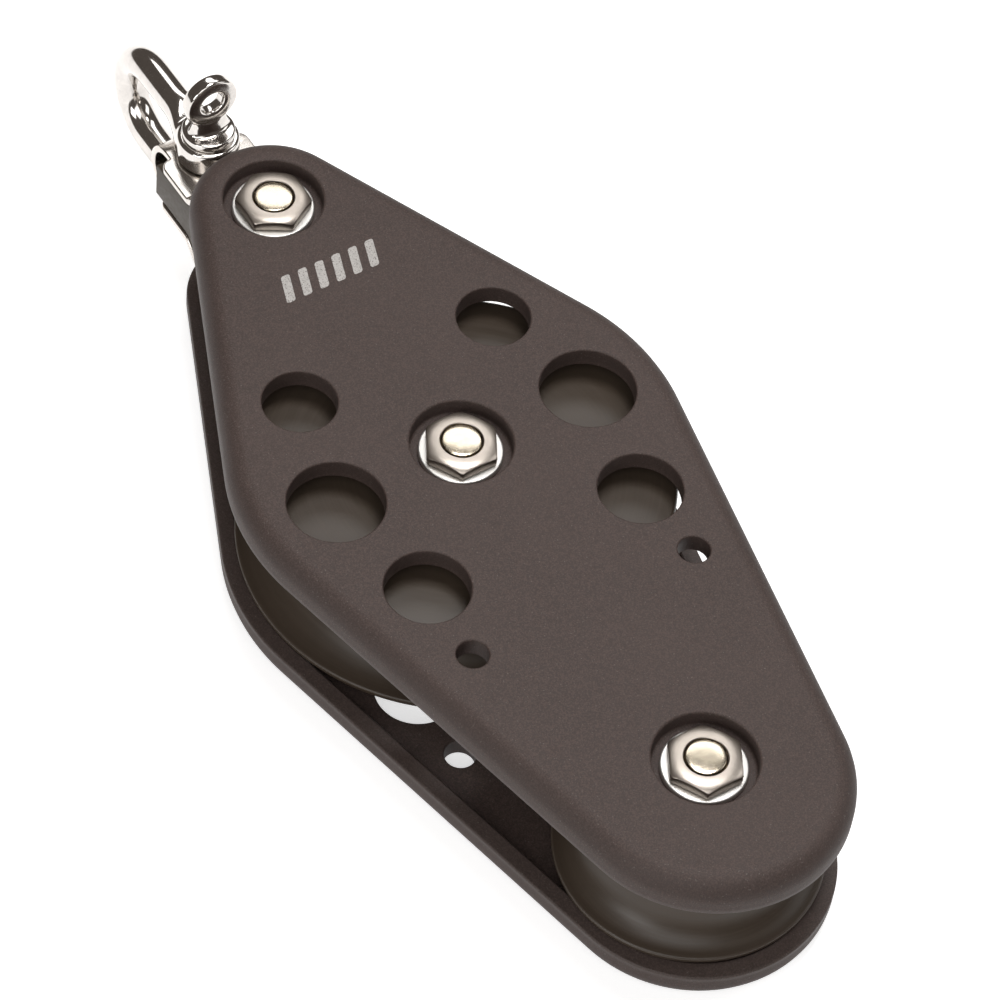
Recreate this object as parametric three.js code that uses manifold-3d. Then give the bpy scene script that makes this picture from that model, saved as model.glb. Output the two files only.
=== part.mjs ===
// Fiddle block: two in-line rope sheaves between a pair of moulded cheek plates, with a screw-pin
// shackle on a folded head strap. Millimetres. The sheave axles stand along +Z and the shackle points
// along +Y. The lower cheek's outer face lies on Z = 0 and the origin is under the middle of the block.
import * as THREE from "three";
import { mergeVertices } from "three/addons/utils/BufferGeometryUtils.js";
import Module from "manifold-3d";

const wasm = await Module();
wasm.setup();

// Cheek plates
const CHEEK_THICKNESS = 4.4;
const INNER_GAP = 27.2;
const HEAD_AXLE_Y = 68;
const TAIL_AXLE_Y = -80.8;
const HEAD_RADIUS = 16.05;
const WAIST_RADIUS = 43.8;
const TAIL_END_Y = -82.3;
const TAIL_RADIUS = 26.5;
const OUTER_EDGE_ROUND = 4.5;
const LIP_DEPTH = 7.3;
const LIP_WIDTH = 3.6;
const BOSS_RADIUS = 12;
const RECESS_RADIUS = 9.7;
const RECESS_DEPTH = 3.6;
// Holes come in mirrored pairs: distance off the middle line, distance along it from the main axle, radius
const CHEEK_HOLES = [
  { off: 21.3, along: 22.6, radius: 7.1 },
  { off: 27.5, along: -0.7, radius: 9.15 },
  { off: 23.1, along: -25.2, radius: 8 },
  { off: 23.9, along: -41.7, radius: 3 },
];

// Sheaves and their bearings
const SHEAVE_WIDTH = 20.6;
const MAIN_SHEAVE_RADIUS = 41.1;
const TAIL_SHEAVE_RADIUS = 25;
const RIM_FLAT = 1.6;
const GROOVE_DEPTH_MAIN = 8;
const GROOVE_DEPTH_TAIL = 6.5;
const HUB_RECESS_RADIUS = 13;
const HUB_RECESS_DEPTH = 1.6;
const BUSH_WALL = 2.2;
const SLEEVE_WALL = 2.35;
const THRUST_WASHER_RADIUS = 10.5;
const THRUST_WASHER_THICKNESS = 0.9;

// Bolts, nuts and washers
const BOLT_RADIUS = 4;
const BOLT_END_TAPER = 0.4;
const BOLT_END_LENGTH = 1;
const HEX_ACROSS_FLATS = 13;
const BOLT_HEAD_HEIGHT = 2.2;
const NUT_HEIGHT = 2.65;
const NUT_CROWN = 1.45;
const NUT_CROWN_LAND = 0.3;
const WASHER_RADIUS = 8;
const WASHER_THICKNESS = 1.2;

// Head strap and the block it is folded round
const STRAP_THICKNESS = 1.4;
const STRAP_HALF_WIDTH = 9.5;
const STRAP_NOSE_HALF_WIDTH = 7;
const STRAP_SHOULDER_PAST_PIN = 2.7;
const STRAP_NOSE_STEP = 1.2;
const STRAP_NOSE_RADIUS = 6.1;
// Along the block from the head axle
const STRAP_BEND_START = 17;
const STRAP_BEND_END = 11;
const STRAP_TAIL = -10.5;
const HEAD_BLOCK_HALF_WIDTH = 9.2;
const HEAD_BLOCK_TAIL = -9;

// Shackle and its screw pin
const PIN_PAST_HEAD_AXLE = 24.6;
const PIN_RADIUS = 3;
const SHACKLE_ROD_RADIUS = 3.3;
const SHACKLE_BEND_RADIUS = 9.6;
const SHACKLE_LIMB_START = 5.8;
const SHACKLE_JAW = 12.8;
const SHACKLE_EAR_RADIUS = 6.3;
const SHACKLE_EAR_THICKNESS = 5.8;
const SHACKLE_REACH = 30.8;
const PIN_COLLAR_RADIUS = 5.3;
const PIN_COLLAR_THICKNESS = 1.9;
const PIN_EYE_RADIUS = 5.5;
const PIN_EYE_BORE_RADIUS = 2.8;
const PIN_EYE_THICKNESS = 2.9;
const PIN_EYE_HEIGHT = 8;
const PIN_NECK_HALF_WIDTH = 3.4;

// Fits
const SEAT_GAP = 0.05;
const RUNNING_GAP = 0.08;
const AXIAL_PLAY = 0.3;
const HOLE_CLEARANCE = 0.3;
const SLEEVE_BORE_CLEARANCE = 0.15;

// Small dressings
const SHEAVE_EDGE_CHAMFER = 0.5;
const OVERCUT = 0.1;
const JOIN_SINK = 0.5;

// Smoothness
const LARGE_SEGMENTS = 40;
const SMALL_SEGMENTS = 24;
const EDGE_SEGMENTS = 4;
const GROOVE_STEPS = 6;
const CROWN_STEPS = 3;
const STRAP_BEND_STEPS = 6;
const BOW_STEPS = 28;

// Worked out from the sizes above
const HEIGHT = 2 * CHEEK_THICKNESS + INNER_GAP;
const MID_Z = HEIGHT / 2;
const BOSS_HEIGHT = INNER_GAP / 2 - SHEAVE_WIDTH / 2 + HUB_RECESS_DEPTH - THRUST_WASHER_THICKNESS - 2 * AXIAL_PLAY;
const SLEEVE_BORE_RADIUS = BOLT_RADIUS + SLEEVE_BORE_CLEARANCE;
const SLEEVE_RADIUS = SLEEVE_BORE_RADIUS + SLEEVE_WALL;
const BOLT_END_RADIUS = BOLT_RADIUS - BOLT_END_TAPER;
const NUT_CROWN_TOP_RADIUS = BOLT_RADIUS + NUT_CROWN_LAND;
const PIN_Y = HEAD_AXLE_Y + PIN_PAST_HEAD_AXLE;
const STRAP_SHOULDER_Y = PIN_Y + STRAP_SHOULDER_PAST_PIN;
const STRAP_BEND_START_Y = HEAD_AXLE_Y + STRAP_BEND_START;
const STRAP_BEND_END_Y = HEAD_AXLE_Y + STRAP_BEND_END;
const STRAP_TAIL_Y = HEAD_AXLE_Y + STRAP_TAIL;
const HEAD_BLOCK_TAIL_Y = HEAD_AXLE_Y + HEAD_BLOCK_TAIL;
const REAR_Y = TAIL_END_Y - TAIL_RADIUS;
const FRONT_Y = PIN_Y + SHACKLE_REACH + SHACKLE_ROD_RADIUS;
const BOLT_HOLE_RADIUS = BOLT_RADIUS + HOLE_CLEARANCE;
const PIN_HOLE_RADIUS = PIN_RADIUS + HOLE_CLEARANCE;
const NUT_BASE = HEIGHT - RECESS_DEPTH + WASHER_THICKNESS + 2 * SEAT_GAP;
const NUT_TOP = NUT_BASE + NUT_HEIGHT;
const STRAP_NOSE_Y = STRAP_SHOULDER_Y + STRAP_NOSE_STEP;

const cheekPlastic = new THREE.MeshStandardMaterial({ color: 0x5a4f4b, roughness: 0.75, metalness: 0 });
const sheavePlastic = new THREE.MeshStandardMaterial({ color: 0x4a4036, roughness: 0.45, metalness: 0 });
const bearingPlastic = new THREE.MeshStandardMaterial({ color: 0xe6e2d6, roughness: 0.5, metalness: 0 });
const brushedSteel = new THREE.MeshStandardMaterial({ color: 0xb9b2aa, roughness: 0.35, metalness: 1 });
const polishedSteel = new THREE.MeshStandardMaterial({ color: 0xd8d5d0, roughness: 0.12, metalness: 1 });

/** A closed geometry as a manifold solid. */
function solid(geometry) {
  const bare = geometry.clone();
  bare.deleteAttribute("normal");
  bare.deleteAttribute("uv");
  const merged = mergeVertices(bare, 1e-4);
  return new wasm.Manifold(
    new wasm.Mesh({
      numProp: 3,
      vertProperties: new Float32Array(merged.attributes.position.array),
      triVerts: new Uint32Array(merged.index.array),
    }),
  );
}

/** A manifold solid as a three.js geometry. */
function geometryOf(body) {
  const mesh = body.getMesh();
  const geometry = new THREE.BufferGeometry();
  geometry.setAttribute("position", new THREE.BufferAttribute(new Float32Array(mesh.vertProperties), 3));
  geometry.setIndex(new THREE.BufferAttribute(new Uint32Array(mesh.triVerts), 1));
  geometry.computeVertexNormals();
  return geometry;
}

/** Adds all the given solids to the first. */
function joined(first, ...others) {
  return others.reduce((sum, other) => sum.add(other), first);
}

/** Cuts all the given solids from the first. */
function cut(first, ...tools) {
  return tools.reduce((rest, tool) => rest.subtract(tool), first);
}

/** A closed profile of [radius, height] points turned about the Z axis. */
function turned(profile, segments = LARGE_SEGMENTS) {
  const points = profile.map(([radius, height]) => new THREE.Vector2(radius, height));
  const geometry = new THREE.LatheGeometry(points, segments);
  geometry.rotateX(Math.PI / 2);
  return geometry;
}

/** A cylinder standing along Z between two heights, at (x, y). */
function post(radius, low, high, x = 0, y = 0, segments = SMALL_SEGMENTS) {
  const geometry = new THREE.CylinderGeometry(radius, radius, high - low, segments);
  geometry.rotateX(Math.PI / 2);
  geometry.translate(x, y, (low + high) / 2);
  return geometry;
}

/** A ring standing along Z between two heights, with its axis on the Z axis. */
function ring(inner, outer, low, high, segments = SMALL_SEGMENTS) {
  const profile = [
    [inner, low],
    [outer, low],
    [outer, high],
    [inner, high],
    [inner, low],
  ];
  return turned(profile, segments);
}

/** A hexagonal prism standing along Z, two flats facing +X and -X. */
function hexPrism(low, high) {
  const corner = HEX_ACROSS_FLATS / Math.sqrt(3);
  const geometry = new THREE.CylinderGeometry(corner, corner, high - low, 6);
  geometry.rotateX(Math.PI / 2);
  geometry.translate(0, 0, (low + high) / 2);
  return geometry;
}

/** A flat outline in the Y-Z plane, given as a shape of (y, z), pulled along X to both sides. */
function pulledAlongX(shape, halfWidth, options = {}) {
  const geometry = new THREE.ExtrudeGeometry(shape, {
    depth: 2 * halfWidth,
    bevelEnabled: false,
    curveSegments: SMALL_SEGMENTS / 2,
    ...options,
  });
  geometry.translate(0, 0, -halfWidth);
  geometry.rotateX(Math.PI / 2);
  geometry.rotateZ(Math.PI / 2);
  return geometry;
}

/** Outline of a cheek: the tight belt round the head, waist and tail circles. */
function cheekOutline(inset) {
  const circles = [
    { y: HEAD_AXLE_Y, radius: HEAD_RADIUS - inset },
    { y: 0, radius: WAIST_RADIUS - inset },
    { y: TAIL_END_Y, radius: TAIL_RADIUS - inset },
  ];
  // The belt leaves each circle where its normal has this angle above the X axis
  const upper = Math.asin((circles[1].radius - circles[0].radius) / (circles[0].y - circles[1].y));
  const lower = Math.asin((circles[1].radius - circles[2].radius) / (circles[1].y - circles[2].y));
  const shape = new THREE.Shape();
  shape.absarc(0, circles[0].y, circles[0].radius, upper, Math.PI - upper, false);
  shape.absarc(0, circles[1].y, circles[1].radius, Math.PI - upper, Math.PI + lower, false);
  shape.absarc(0, circles[2].y, circles[2].radius, Math.PI + lower, 2 * Math.PI - lower, false);
  shape.absarc(0, circles[1].y, circles[1].radius, -lower, upper, false);
  shape.closePath();
  return shape;
}

/** A cheek: a plate with a rounded rim whose lip turns inward. Its outer face is at outerZ. */
function cheek(outerZ, outward) {
  const at = (depth) => outerZ - outward * depth;
  const between = (radius, near, far, x, y) =>
    solid(post(radius, Math.min(at(near), at(far)), Math.max(at(near), at(far)), x, y));
  const slab = (inset, near, far, options) => {
    const shape = cheekOutline(inset);
    const geometry = new THREE.ExtrudeGeometry(shape, {
      depth: far - near,
      bevelEnabled: false,
      curveSegments: LARGE_SEGMENTS / 4,
      ...options,
    });
    geometry.translate(0, 0, Math.min(at(near), at(far)));
    return solid(geometry);
  };
  // A pillow rounded on both faces, of which the outer half is kept
  const pillow = slab(OUTER_EDGE_ROUND, OUTER_EDGE_ROUND, 2 * LIP_DEPTH - OUTER_EDGE_ROUND, {
    bevelEnabled: true,
    bevelThickness: OUTER_EDGE_ROUND,
    bevelSize: OUTER_EDGE_ROUND,
    bevelSegments: EDGE_SEGMENTS,
  });
  const shell = pillow.intersect(slab(-1, 0, LIP_DEPTH)).subtract(slab(LIP_WIDTH, CHEEK_THICKNESS, LIP_DEPTH + 1));
  const through = CHEEK_THICKNESS + BOSS_HEIGHT + 1;
  const axles = [HEAD_AXLE_Y, 0, TAIL_AXLE_Y];
  const bosses = axles.map((y) =>
    between(BOSS_RADIUS, CHEEK_THICKNESS / 2, CHEEK_THICKNESS + BOSS_HEIGHT, 0, y),
  );
  const recesses = axles.map((y) => between(RECESS_RADIUS, -1, RECESS_DEPTH, 0, y));
  const boltHoles = axles.map((y) => between(BOLT_HOLE_RADIUS, -1, through, 0, y));
  const holes = CHEEK_HOLES.flatMap((hole) =>
    [-1, 1].map((side) => between(hole.radius, -1, through, side * hole.off, hole.along)),
  );
  return cut(joined(shell, ...bosses), ...recesses, ...boltHoles, ...holes);
}

/** Points down one flank of a grooved rim and up the other, from the top edge to the bottom one. */
function grooveProfile(radius, depth) {
  const half = SHEAVE_WIDTH / 2 - RIM_FLAT;
  const points = [];
  for (let i = 0; i <= GROOVE_STEPS; i++) {
    const across = Math.cos((Math.PI * i) / GROOVE_STEPS);
    const sunk = Math.sqrt(1 - across * across);
    points.push([radius - depth * sunk, across * half]);
  }
  return points;
}

/** A sheave turned about the Z axis, its middle plane at height 0. */
function sheave(radius, grooveDepth) {
  const half = SHEAVE_WIDTH / 2;
  const bore = (SLEEVE_RADIUS + RUNNING_GAP + BUSH_WALL + SEAT_GAP) / Math.cos(Math.PI / LARGE_SEGMENTS);
  const hub = half - HUB_RECESS_DEPTH;
  const profile = [
    [bore, -hub],
    [HUB_RECESS_RADIUS, -hub],
    [HUB_RECESS_RADIUS, -half],
    [radius - SHEAVE_EDGE_CHAMFER, -half],
    [radius, -half + SHEAVE_EDGE_CHAMFER],
    ...grooveProfile(radius, grooveDepth).reverse(),
    [radius, half - SHEAVE_EDGE_CHAMFER],
    [radius - SHEAVE_EDGE_CHAMFER, half],
    [HUB_RECESS_RADIUS, half],
    [HUB_RECESS_RADIUS, hub],
    [bore, hub],
    [bore, -hub],
  ];
  return turned(profile);
}

/** The plain bush pressed into a sheave, its middle plane at height 0. */
function bush() {
  const inner = (SLEEVE_RADIUS + RUNNING_GAP) / Math.cos(Math.PI / LARGE_SEGMENTS);
  const half = SHEAVE_WIDTH / 2 - HUB_RECESS_DEPTH;
  return ring(inner, inner + BUSH_WALL, -half, half, LARGE_SEGMENTS);
}

/** The steel sleeve that an axle bolt clamps between the two cheeks, its middle plane at height 0. */
function sleeve(halfLength) {
  return ring(SLEEVE_BORE_RADIUS, SLEEVE_RADIUS, -halfLength, halfLength, LARGE_SEGMENTS);
}

/** A bolt standing along Z, its hex head in the lower cheek's recess. */
function bolt() {
  const headTop = RECESS_DEPTH - WASHER_THICKNESS - 2 * SEAT_GAP;
  const end = NUT_TOP + 2 * SEAT_GAP;
  return joined(
    solid(hexPrism(headTop - BOLT_HEAD_HEIGHT, headTop)),
    solid(post(BOLT_RADIUS, headTop - 1, end - BOLT_END_LENGTH)),
    solid(post(BOLT_END_RADIUS, headTop, end)),
  );
}

/** A hex nut with a rounded crown, standing on height 0. */
function crownedNut() {
  const corner = HEX_ACROSS_FLATS / Math.sqrt(3) + OVERCUT;
  const shoulder = NUT_HEIGHT - NUT_CROWN;
  const profile = [
    [0, 0],
    [corner, 0],
  ];
  for (let i = 0; i <= CROWN_STEPS; i++) {
    const turn = (Math.PI / 2) * (i / CROWN_STEPS);
    const radius = NUT_CROWN_TOP_RADIUS + (corner - NUT_CROWN_TOP_RADIUS) * Math.cos(turn);
    profile.push([radius, shoulder + NUT_CROWN * Math.sin(turn)]);
  }
  profile.push([0, NUT_HEIGHT]);
  const crowned = solid(hexPrism(0, NUT_HEIGHT)).intersect(solid(turned(profile, SMALL_SEGMENTS)));
  return cut(crowned, solid(post(BOLT_RADIUS + SEAT_GAP, -1, NUT_HEIGHT + 1)));
}

/** Centre line of a strap leg moved outward by an offset: [distance along Y, height above middle]. */
function strapLeg(offset, tailY) {
  const wide = INNER_GAP / 2 - BOSS_HEIGHT - SEAT_GAP - STRAP_THICKNESS / 2;
  const narrow = STRAP_NOSE_RADIUS - STRAP_THICKNESS / 2;
  const run = STRAP_BEND_START_Y - STRAP_BEND_END_Y;
  const points = [[tailY, wide + offset]];
  for (let i = 0; i <= STRAP_BEND_STEPS; i++) {
    const u = i / STRAP_BEND_STEPS;
    const height = wide + (narrow - wide) * u * u * (3 - 2 * u);
    const slope = ((narrow - wide) * 6 * u * (1 - u)) / run;
    const length = Math.hypot(slope, 1);
    points.push([STRAP_BEND_END_Y + run * u - (offset * slope) / length, height + offset / length]);
  }
  return points;
}

/** Draws a strap leg's offset line on a shape, above (+1) or below (-1) the middle plane. */
function drawLeg(shape, points, side) {
  points.forEach(([y, height]) => {
    if (shape.curves.length || shape.currentPoint.lengthSq() > 0) shape.lineTo(y, MID_Z + side * height);
    else shape.moveTo(y, MID_Z + side * height);
  });
}

/** The folded head strap, drilled for the head bolt and the shackle pin. */
function headStrap() {
  const outer = strapLeg(STRAP_THICKNESS / 2, STRAP_TAIL_Y);
  const inner = strapLeg(-STRAP_THICKNESS / 2, STRAP_TAIL_Y);
  const shape = new THREE.Shape();
  drawLeg(shape, outer, 1);
  shape.absarc(STRAP_NOSE_Y, MID_Z, STRAP_NOSE_RADIUS, Math.PI / 2, -Math.PI / 2, true);
  drawLeg(shape, [...outer].reverse(), -1);
  drawLeg(shape, inner, -1);
  shape.absarc(STRAP_NOSE_Y, MID_Z, STRAP_NOSE_RADIUS - STRAP_THICKNESS, -Math.PI / 2, Math.PI / 2, false);
  drawLeg(shape, [...inner].reverse(), 1);
  shape.closePath();
  const folded = solid(pulledAlongX(shape, STRAP_HALF_WIDTH));
  const step = STRAP_HALF_WIDTH - STRAP_NOSE_HALF_WIDTH;
  const plan = new THREE.Shape();
  plan.moveTo(-STRAP_HALF_WIDTH, STRAP_TAIL_Y - 1);
  plan.lineTo(STRAP_HALF_WIDTH, STRAP_TAIL_Y - 1);
  plan.absarc(STRAP_NOSE_HALF_WIDTH, STRAP_SHOULDER_Y - step, step, 0, Math.PI / 2, false);
  plan.lineTo(STRAP_NOSE_HALF_WIDTH, STRAP_NOSE_Y + STRAP_NOSE_RADIUS + 1);
  plan.lineTo(-STRAP_NOSE_HALF_WIDTH, STRAP_NOSE_Y + STRAP_NOSE_RADIUS + 1);
  plan.absarc(-STRAP_NOSE_HALF_WIDTH, STRAP_SHOULDER_Y - step, step, Math.PI / 2, Math.PI, false);
  plan.closePath();
  const blank = new THREE.ExtrudeGeometry(plan, { depth: HEIGHT, bevelEnabled: false, curveSegments: 8 });
  return cut(
    folded.intersect(solid(blank)),
    solid(post(BOLT_HOLE_RADIUS, 0, HEIGHT, 0, HEAD_AXLE_Y)),
    solid(post(PIN_HOLE_RADIUS, 0, HEIGHT, 0, PIN_Y)),
  );
}

/** The moulded block that fills the strap between its legs. */
function headBlock() {
  const leg = strapLeg(-STRAP_THICKNESS / 2 - AXIAL_PLAY, HEAD_BLOCK_TAIL_Y);
  const shape = new THREE.Shape();
  drawLeg(shape, leg, 1);
  shape.lineTo(STRAP_NOSE_Y, MID_Z + leg.at(-1)[1]);
  shape.lineTo(STRAP_NOSE_Y, MID_Z - leg.at(-1)[1]);
  drawLeg(shape, [...leg].reverse(), -1);
  shape.closePath();
  return cut(
    solid(pulledAlongX(shape, HEAD_BLOCK_HALF_WIDTH)),
    solid(post(SLEEVE_BORE_RADIUS, 0, HEIGHT, 0, HEAD_AXLE_Y)),
    solid(post(PIN_HOLE_RADIUS, 0, HEIGHT, 0, PIN_Y)),
  );
}

/** Centre line of the shackle's rod: out along one limb, round the bow and back, from ear to ear. */
class BowLine extends THREE.Curve {
  constructor(start, end, bendRadius) {
    super();
    this.start = start;
    this.end = end;
    this.bendRadius = bendRadius;
  }

  getPoint(t, target = new THREE.Vector3()) {
    const limb = this.end - this.start;
    const bend = Math.PI * this.bendRadius;
    const along = t * (2 * limb + bend);
    if (along < limb) return target.set(0, this.start + along, this.bendRadius);
    if (along > limb + bend) {
      return target.set(0, this.start + 2 * limb + bend - along, -this.bendRadius);
    }
    const turn = (along - limb) / this.bendRadius;
    const reach = this.end + this.bendRadius * Math.sin(turn);
    return target.set(0, reach, this.bendRadius * Math.cos(turn));
  }
}

/** The D-shaped shackle bow with an ear on each limb, the pin axis on the Z axis at mid height 0. */
function shackleBow() {
  const earMiddle = (SHACKLE_JAW + SHACKLE_EAR_THICKNESS) / 2;
  const line = new BowLine(SHACKLE_LIMB_START, SHACKLE_REACH - SHACKLE_BEND_RADIUS, SHACKLE_BEND_RADIUS);
  const section = new THREE.Shape();
  section.absarc(0, 0, SHACKLE_ROD_RADIUS, 0, 2 * Math.PI, false);
  const rod = new THREE.ExtrudeGeometry(section, { steps: BOW_STEPS, extrudePath: line, curveSegments: 6 });
  const ears = [1, -1].map((side) => {
    const middle = side * earMiddle;
    const half = SHACKLE_EAR_THICKNESS / 2;
    return solid(post(SHACKLE_EAR_RADIUS, middle - half, middle + half, 0, 0, LARGE_SEGMENTS));
  });
  const reach = earMiddle + SHACKLE_EAR_THICKNESS;
  return cut(joined(solid(rod), ...ears), solid(post(PIN_HOLE_RADIUS, -reach, reach)));
}

/** The screw pin with its collar and eye, the pin axis on the Z axis at mid height 0. */
function shacklePin() {
  const earTop = SHACKLE_JAW / 2 + SHACKLE_EAR_THICKNESS;
  const collarTop = earTop + SEAT_GAP + PIN_COLLAR_THICKNESS;
  const eyeHeight = collarTop + PIN_EYE_HEIGHT;
  const across = (radius, length) => {
    const geometry = new THREE.CylinderGeometry(radius, radius, length, SMALL_SEGMENTS);
    geometry.translate(0, 0, eyeHeight);
    return solid(geometry);
  };
  const neck = new THREE.BoxGeometry(2 * PIN_NECK_HALF_WIDTH, PIN_EYE_THICKNESS, PIN_EYE_HEIGHT);
  neck.translate(0, 0, collarTop + PIN_EYE_HEIGHT / 2 - JOIN_SINK);
  const body = joined(
    solid(post(PIN_RADIUS, -earTop, collarTop - JOIN_SINK)),
    solid(post(PIN_COLLAR_RADIUS, earTop + SEAT_GAP, collarTop, 0, 0, LARGE_SEGMENTS)),
    solid(neck),
    across(PIN_EYE_RADIUS, PIN_EYE_THICKNESS),
  );
  return cut(body, across(PIN_EYE_BORE_RADIUS, PIN_EYE_THICKNESS + 2));
}

const part = new THREE.Group();

/** Adds a named mesh to the part, or to a group of it, at a place. */
function add(name, shape, material, [x, y, z] = [0, 0, 0], parent = part) {
  const geometry = shape.isBufferGeometry ? shape : geometryOf(shape);
  const mesh = new THREE.Mesh(geometry, material);
  mesh.name = name;
  mesh.position.set(x, y, z);
  parent.add(mesh);
  return mesh;
}

const cheekMiddle = (REAR_Y + FRONT_Y) / 2;
part.position.set(0, -cheekMiddle, 0);

add("upper_cheek", cheek(HEIGHT, 1), cheekPlastic);
add("lower_cheek", cheek(0, -1), cheekPlastic);

const washerLow = RECESS_DEPTH - SEAT_GAP - WASHER_THICKNESS;
const axles = [
  { name: "head", y: HEAD_AXLE_Y, nutTurn: 0 },
  { name: "main", y: 0, nutTurn: Math.PI / 6 },
  { name: "tail", y: TAIL_AXLE_Y, nutTurn: Math.PI / 6 },
];
for (const { name, y, nutTurn } of axles) {
  const washer = () => ring(BOLT_HOLE_RADIUS, WASHER_RADIUS, 0, WASHER_THICKNESS);
  add(`${name}_bolt`, bolt(), brushedSteel, [0, y, 0]);
  add(`${name}_bolt_washer`, washer(), polishedSteel, [0, y, washerLow]);
  add(`${name}_nut_washer`, washer(), polishedSteel, [0, y, HEIGHT - RECESS_DEPTH + SEAT_GAP]);
  add(`${name}_nut`, crownedNut(), brushedSteel, [0, y, NUT_BASE]).rotation.z = nutTurn;
}

const sleeveHalf = INNER_GAP / 2 - BOSS_HEIGHT - SEAT_GAP;
const hubFace = SHEAVE_WIDTH / 2 - HUB_RECESS_DEPTH;
const washerPlay = (sleeveHalf + SEAT_GAP - hubFace - THRUST_WASHER_THICKNESS) / 2;
const sheaves = [
  { name: "main", y: 0, radius: MAIN_SHEAVE_RADIUS, groove: GROOVE_DEPTH_MAIN },
  { name: "tail", y: TAIL_AXLE_Y, radius: TAIL_SHEAVE_RADIUS, groove: GROOVE_DEPTH_TAIL },
];
for (const { name, y, radius, groove } of sheaves) {
  const thrustWasher = () =>
    ring(SLEEVE_RADIUS + HOLE_CLEARANCE, THRUST_WASHER_RADIUS, 0, THRUST_WASHER_THICKNESS);
  const lowWasher = MID_Z - hubFace - washerPlay - THRUST_WASHER_THICKNESS;
  add(`${name}_sheave`, sheave(radius, groove), sheavePlastic, [0, y, MID_Z]);
  add(`${name}_bush`, bush(), bearingPlastic, [0, y, MID_Z]);
  add(`${name}_sleeve`, sleeve(sleeveHalf), brushedSteel, [0, y, MID_Z]);
  add(`${name}_lower_thrust_washer`, thrustWasher(), bearingPlastic, [0, y, lowWasher]);
  add(`${name}_upper_thrust_washer`, thrustWasher(), bearingPlastic, [0, y, MID_Z + hubFace + washerPlay]);
}

add("head_strap", headStrap(), polishedSteel);
add("head_block", headBlock(), sheavePlastic);
add("shackle_bow", shackleBow(), polishedSteel, [0, PIN_Y, MID_Z]);
add("shackle_pin", shacklePin(), polishedSteel, [0, PIN_Y, MID_Z]);

export default part;
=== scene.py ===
"""Looks of a fiddle block: two in-line sheaves between moulded cheeks, with a screw-pin shackle."""

import logging
import math
from collections.abc import Iterable, Sequence
from dataclasses import dataclass, field
from enum import Enum

import bmesh
import bpy
from mathutils import Matrix, Vector


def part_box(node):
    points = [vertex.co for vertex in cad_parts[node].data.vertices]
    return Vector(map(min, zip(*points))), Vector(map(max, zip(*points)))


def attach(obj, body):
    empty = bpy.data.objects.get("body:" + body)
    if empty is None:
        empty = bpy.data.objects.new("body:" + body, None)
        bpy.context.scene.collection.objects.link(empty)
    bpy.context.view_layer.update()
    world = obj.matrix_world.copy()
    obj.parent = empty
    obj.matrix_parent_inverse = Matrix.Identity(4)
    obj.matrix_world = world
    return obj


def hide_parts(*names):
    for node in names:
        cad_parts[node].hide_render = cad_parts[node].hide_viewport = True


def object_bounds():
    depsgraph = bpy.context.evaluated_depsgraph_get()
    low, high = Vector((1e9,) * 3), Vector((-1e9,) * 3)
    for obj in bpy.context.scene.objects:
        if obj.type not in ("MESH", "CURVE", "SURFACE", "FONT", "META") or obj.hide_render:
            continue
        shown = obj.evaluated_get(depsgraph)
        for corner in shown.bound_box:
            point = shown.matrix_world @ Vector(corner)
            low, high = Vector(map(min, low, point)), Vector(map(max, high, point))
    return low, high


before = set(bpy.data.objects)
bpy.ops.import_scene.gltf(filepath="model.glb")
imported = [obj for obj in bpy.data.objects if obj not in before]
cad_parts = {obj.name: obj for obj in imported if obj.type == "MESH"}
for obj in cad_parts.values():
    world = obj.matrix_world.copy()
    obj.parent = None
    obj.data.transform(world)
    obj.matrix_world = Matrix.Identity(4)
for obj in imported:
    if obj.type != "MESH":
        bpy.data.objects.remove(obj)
CAD_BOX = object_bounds()

LOG = logging.getLogger("fiddle_block")
MM = 0.001
LOCAL = "local_mm"
UP = Vector((0, 0, 1))


# ---------------------------------------------------------------------------------------------
# Mesh making
# ---------------------------------------------------------------------------------------------


@dataclass(frozen=True)
class Corner:
    """One corner of a turned profile: its radius and height in mm, and the round put on it."""

    radius: float
    height: float
    round: float = 0.0


def rounded(corners: Sequence[Corner], steps: int = 4, closed: bool = False) -> list[tuple[float, float]]:
    """Puts an arc on each corner that asks for one.

    Args:
        corners: the profile's corners in order.
        steps: segments in each arc.
        closed: whether the last corner joins the first.

    Returns:
        The profile's points as (radius, height) in mm.
    """
    points: list[tuple[float, float]] = []
    count = len(corners)
    for index, corner in enumerate(corners):
        here = Vector((corner.radius, corner.height))
        inside = closed or 0 < index < count - 1
        if corner.round <= 0 or not inside:
            points.append((here.x, here.y))
            continue
        before, after = corners[index - 1], corners[(index + 1) % count]
        back = (Vector((before.radius, before.height)) - here).normalized()
        ahead = (Vector((after.radius, after.height)) - here).normalized()
        half = back.angle(ahead) / 2
        reach = corner.round / math.tan(half)
        centre = here + (back + ahead).normalized() * (corner.round / math.sin(half))
        start, end = here + back * reach - centre, here + ahead * reach - centre
        sweep = start.angle_signed(end)
        for step in range(steps + 1):
            spoke = Matrix.Rotation(-sweep * step / steps, 2) @ start
            points.append((centre.x + spoke.x, centre.y + spoke.y))
    return points


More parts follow.
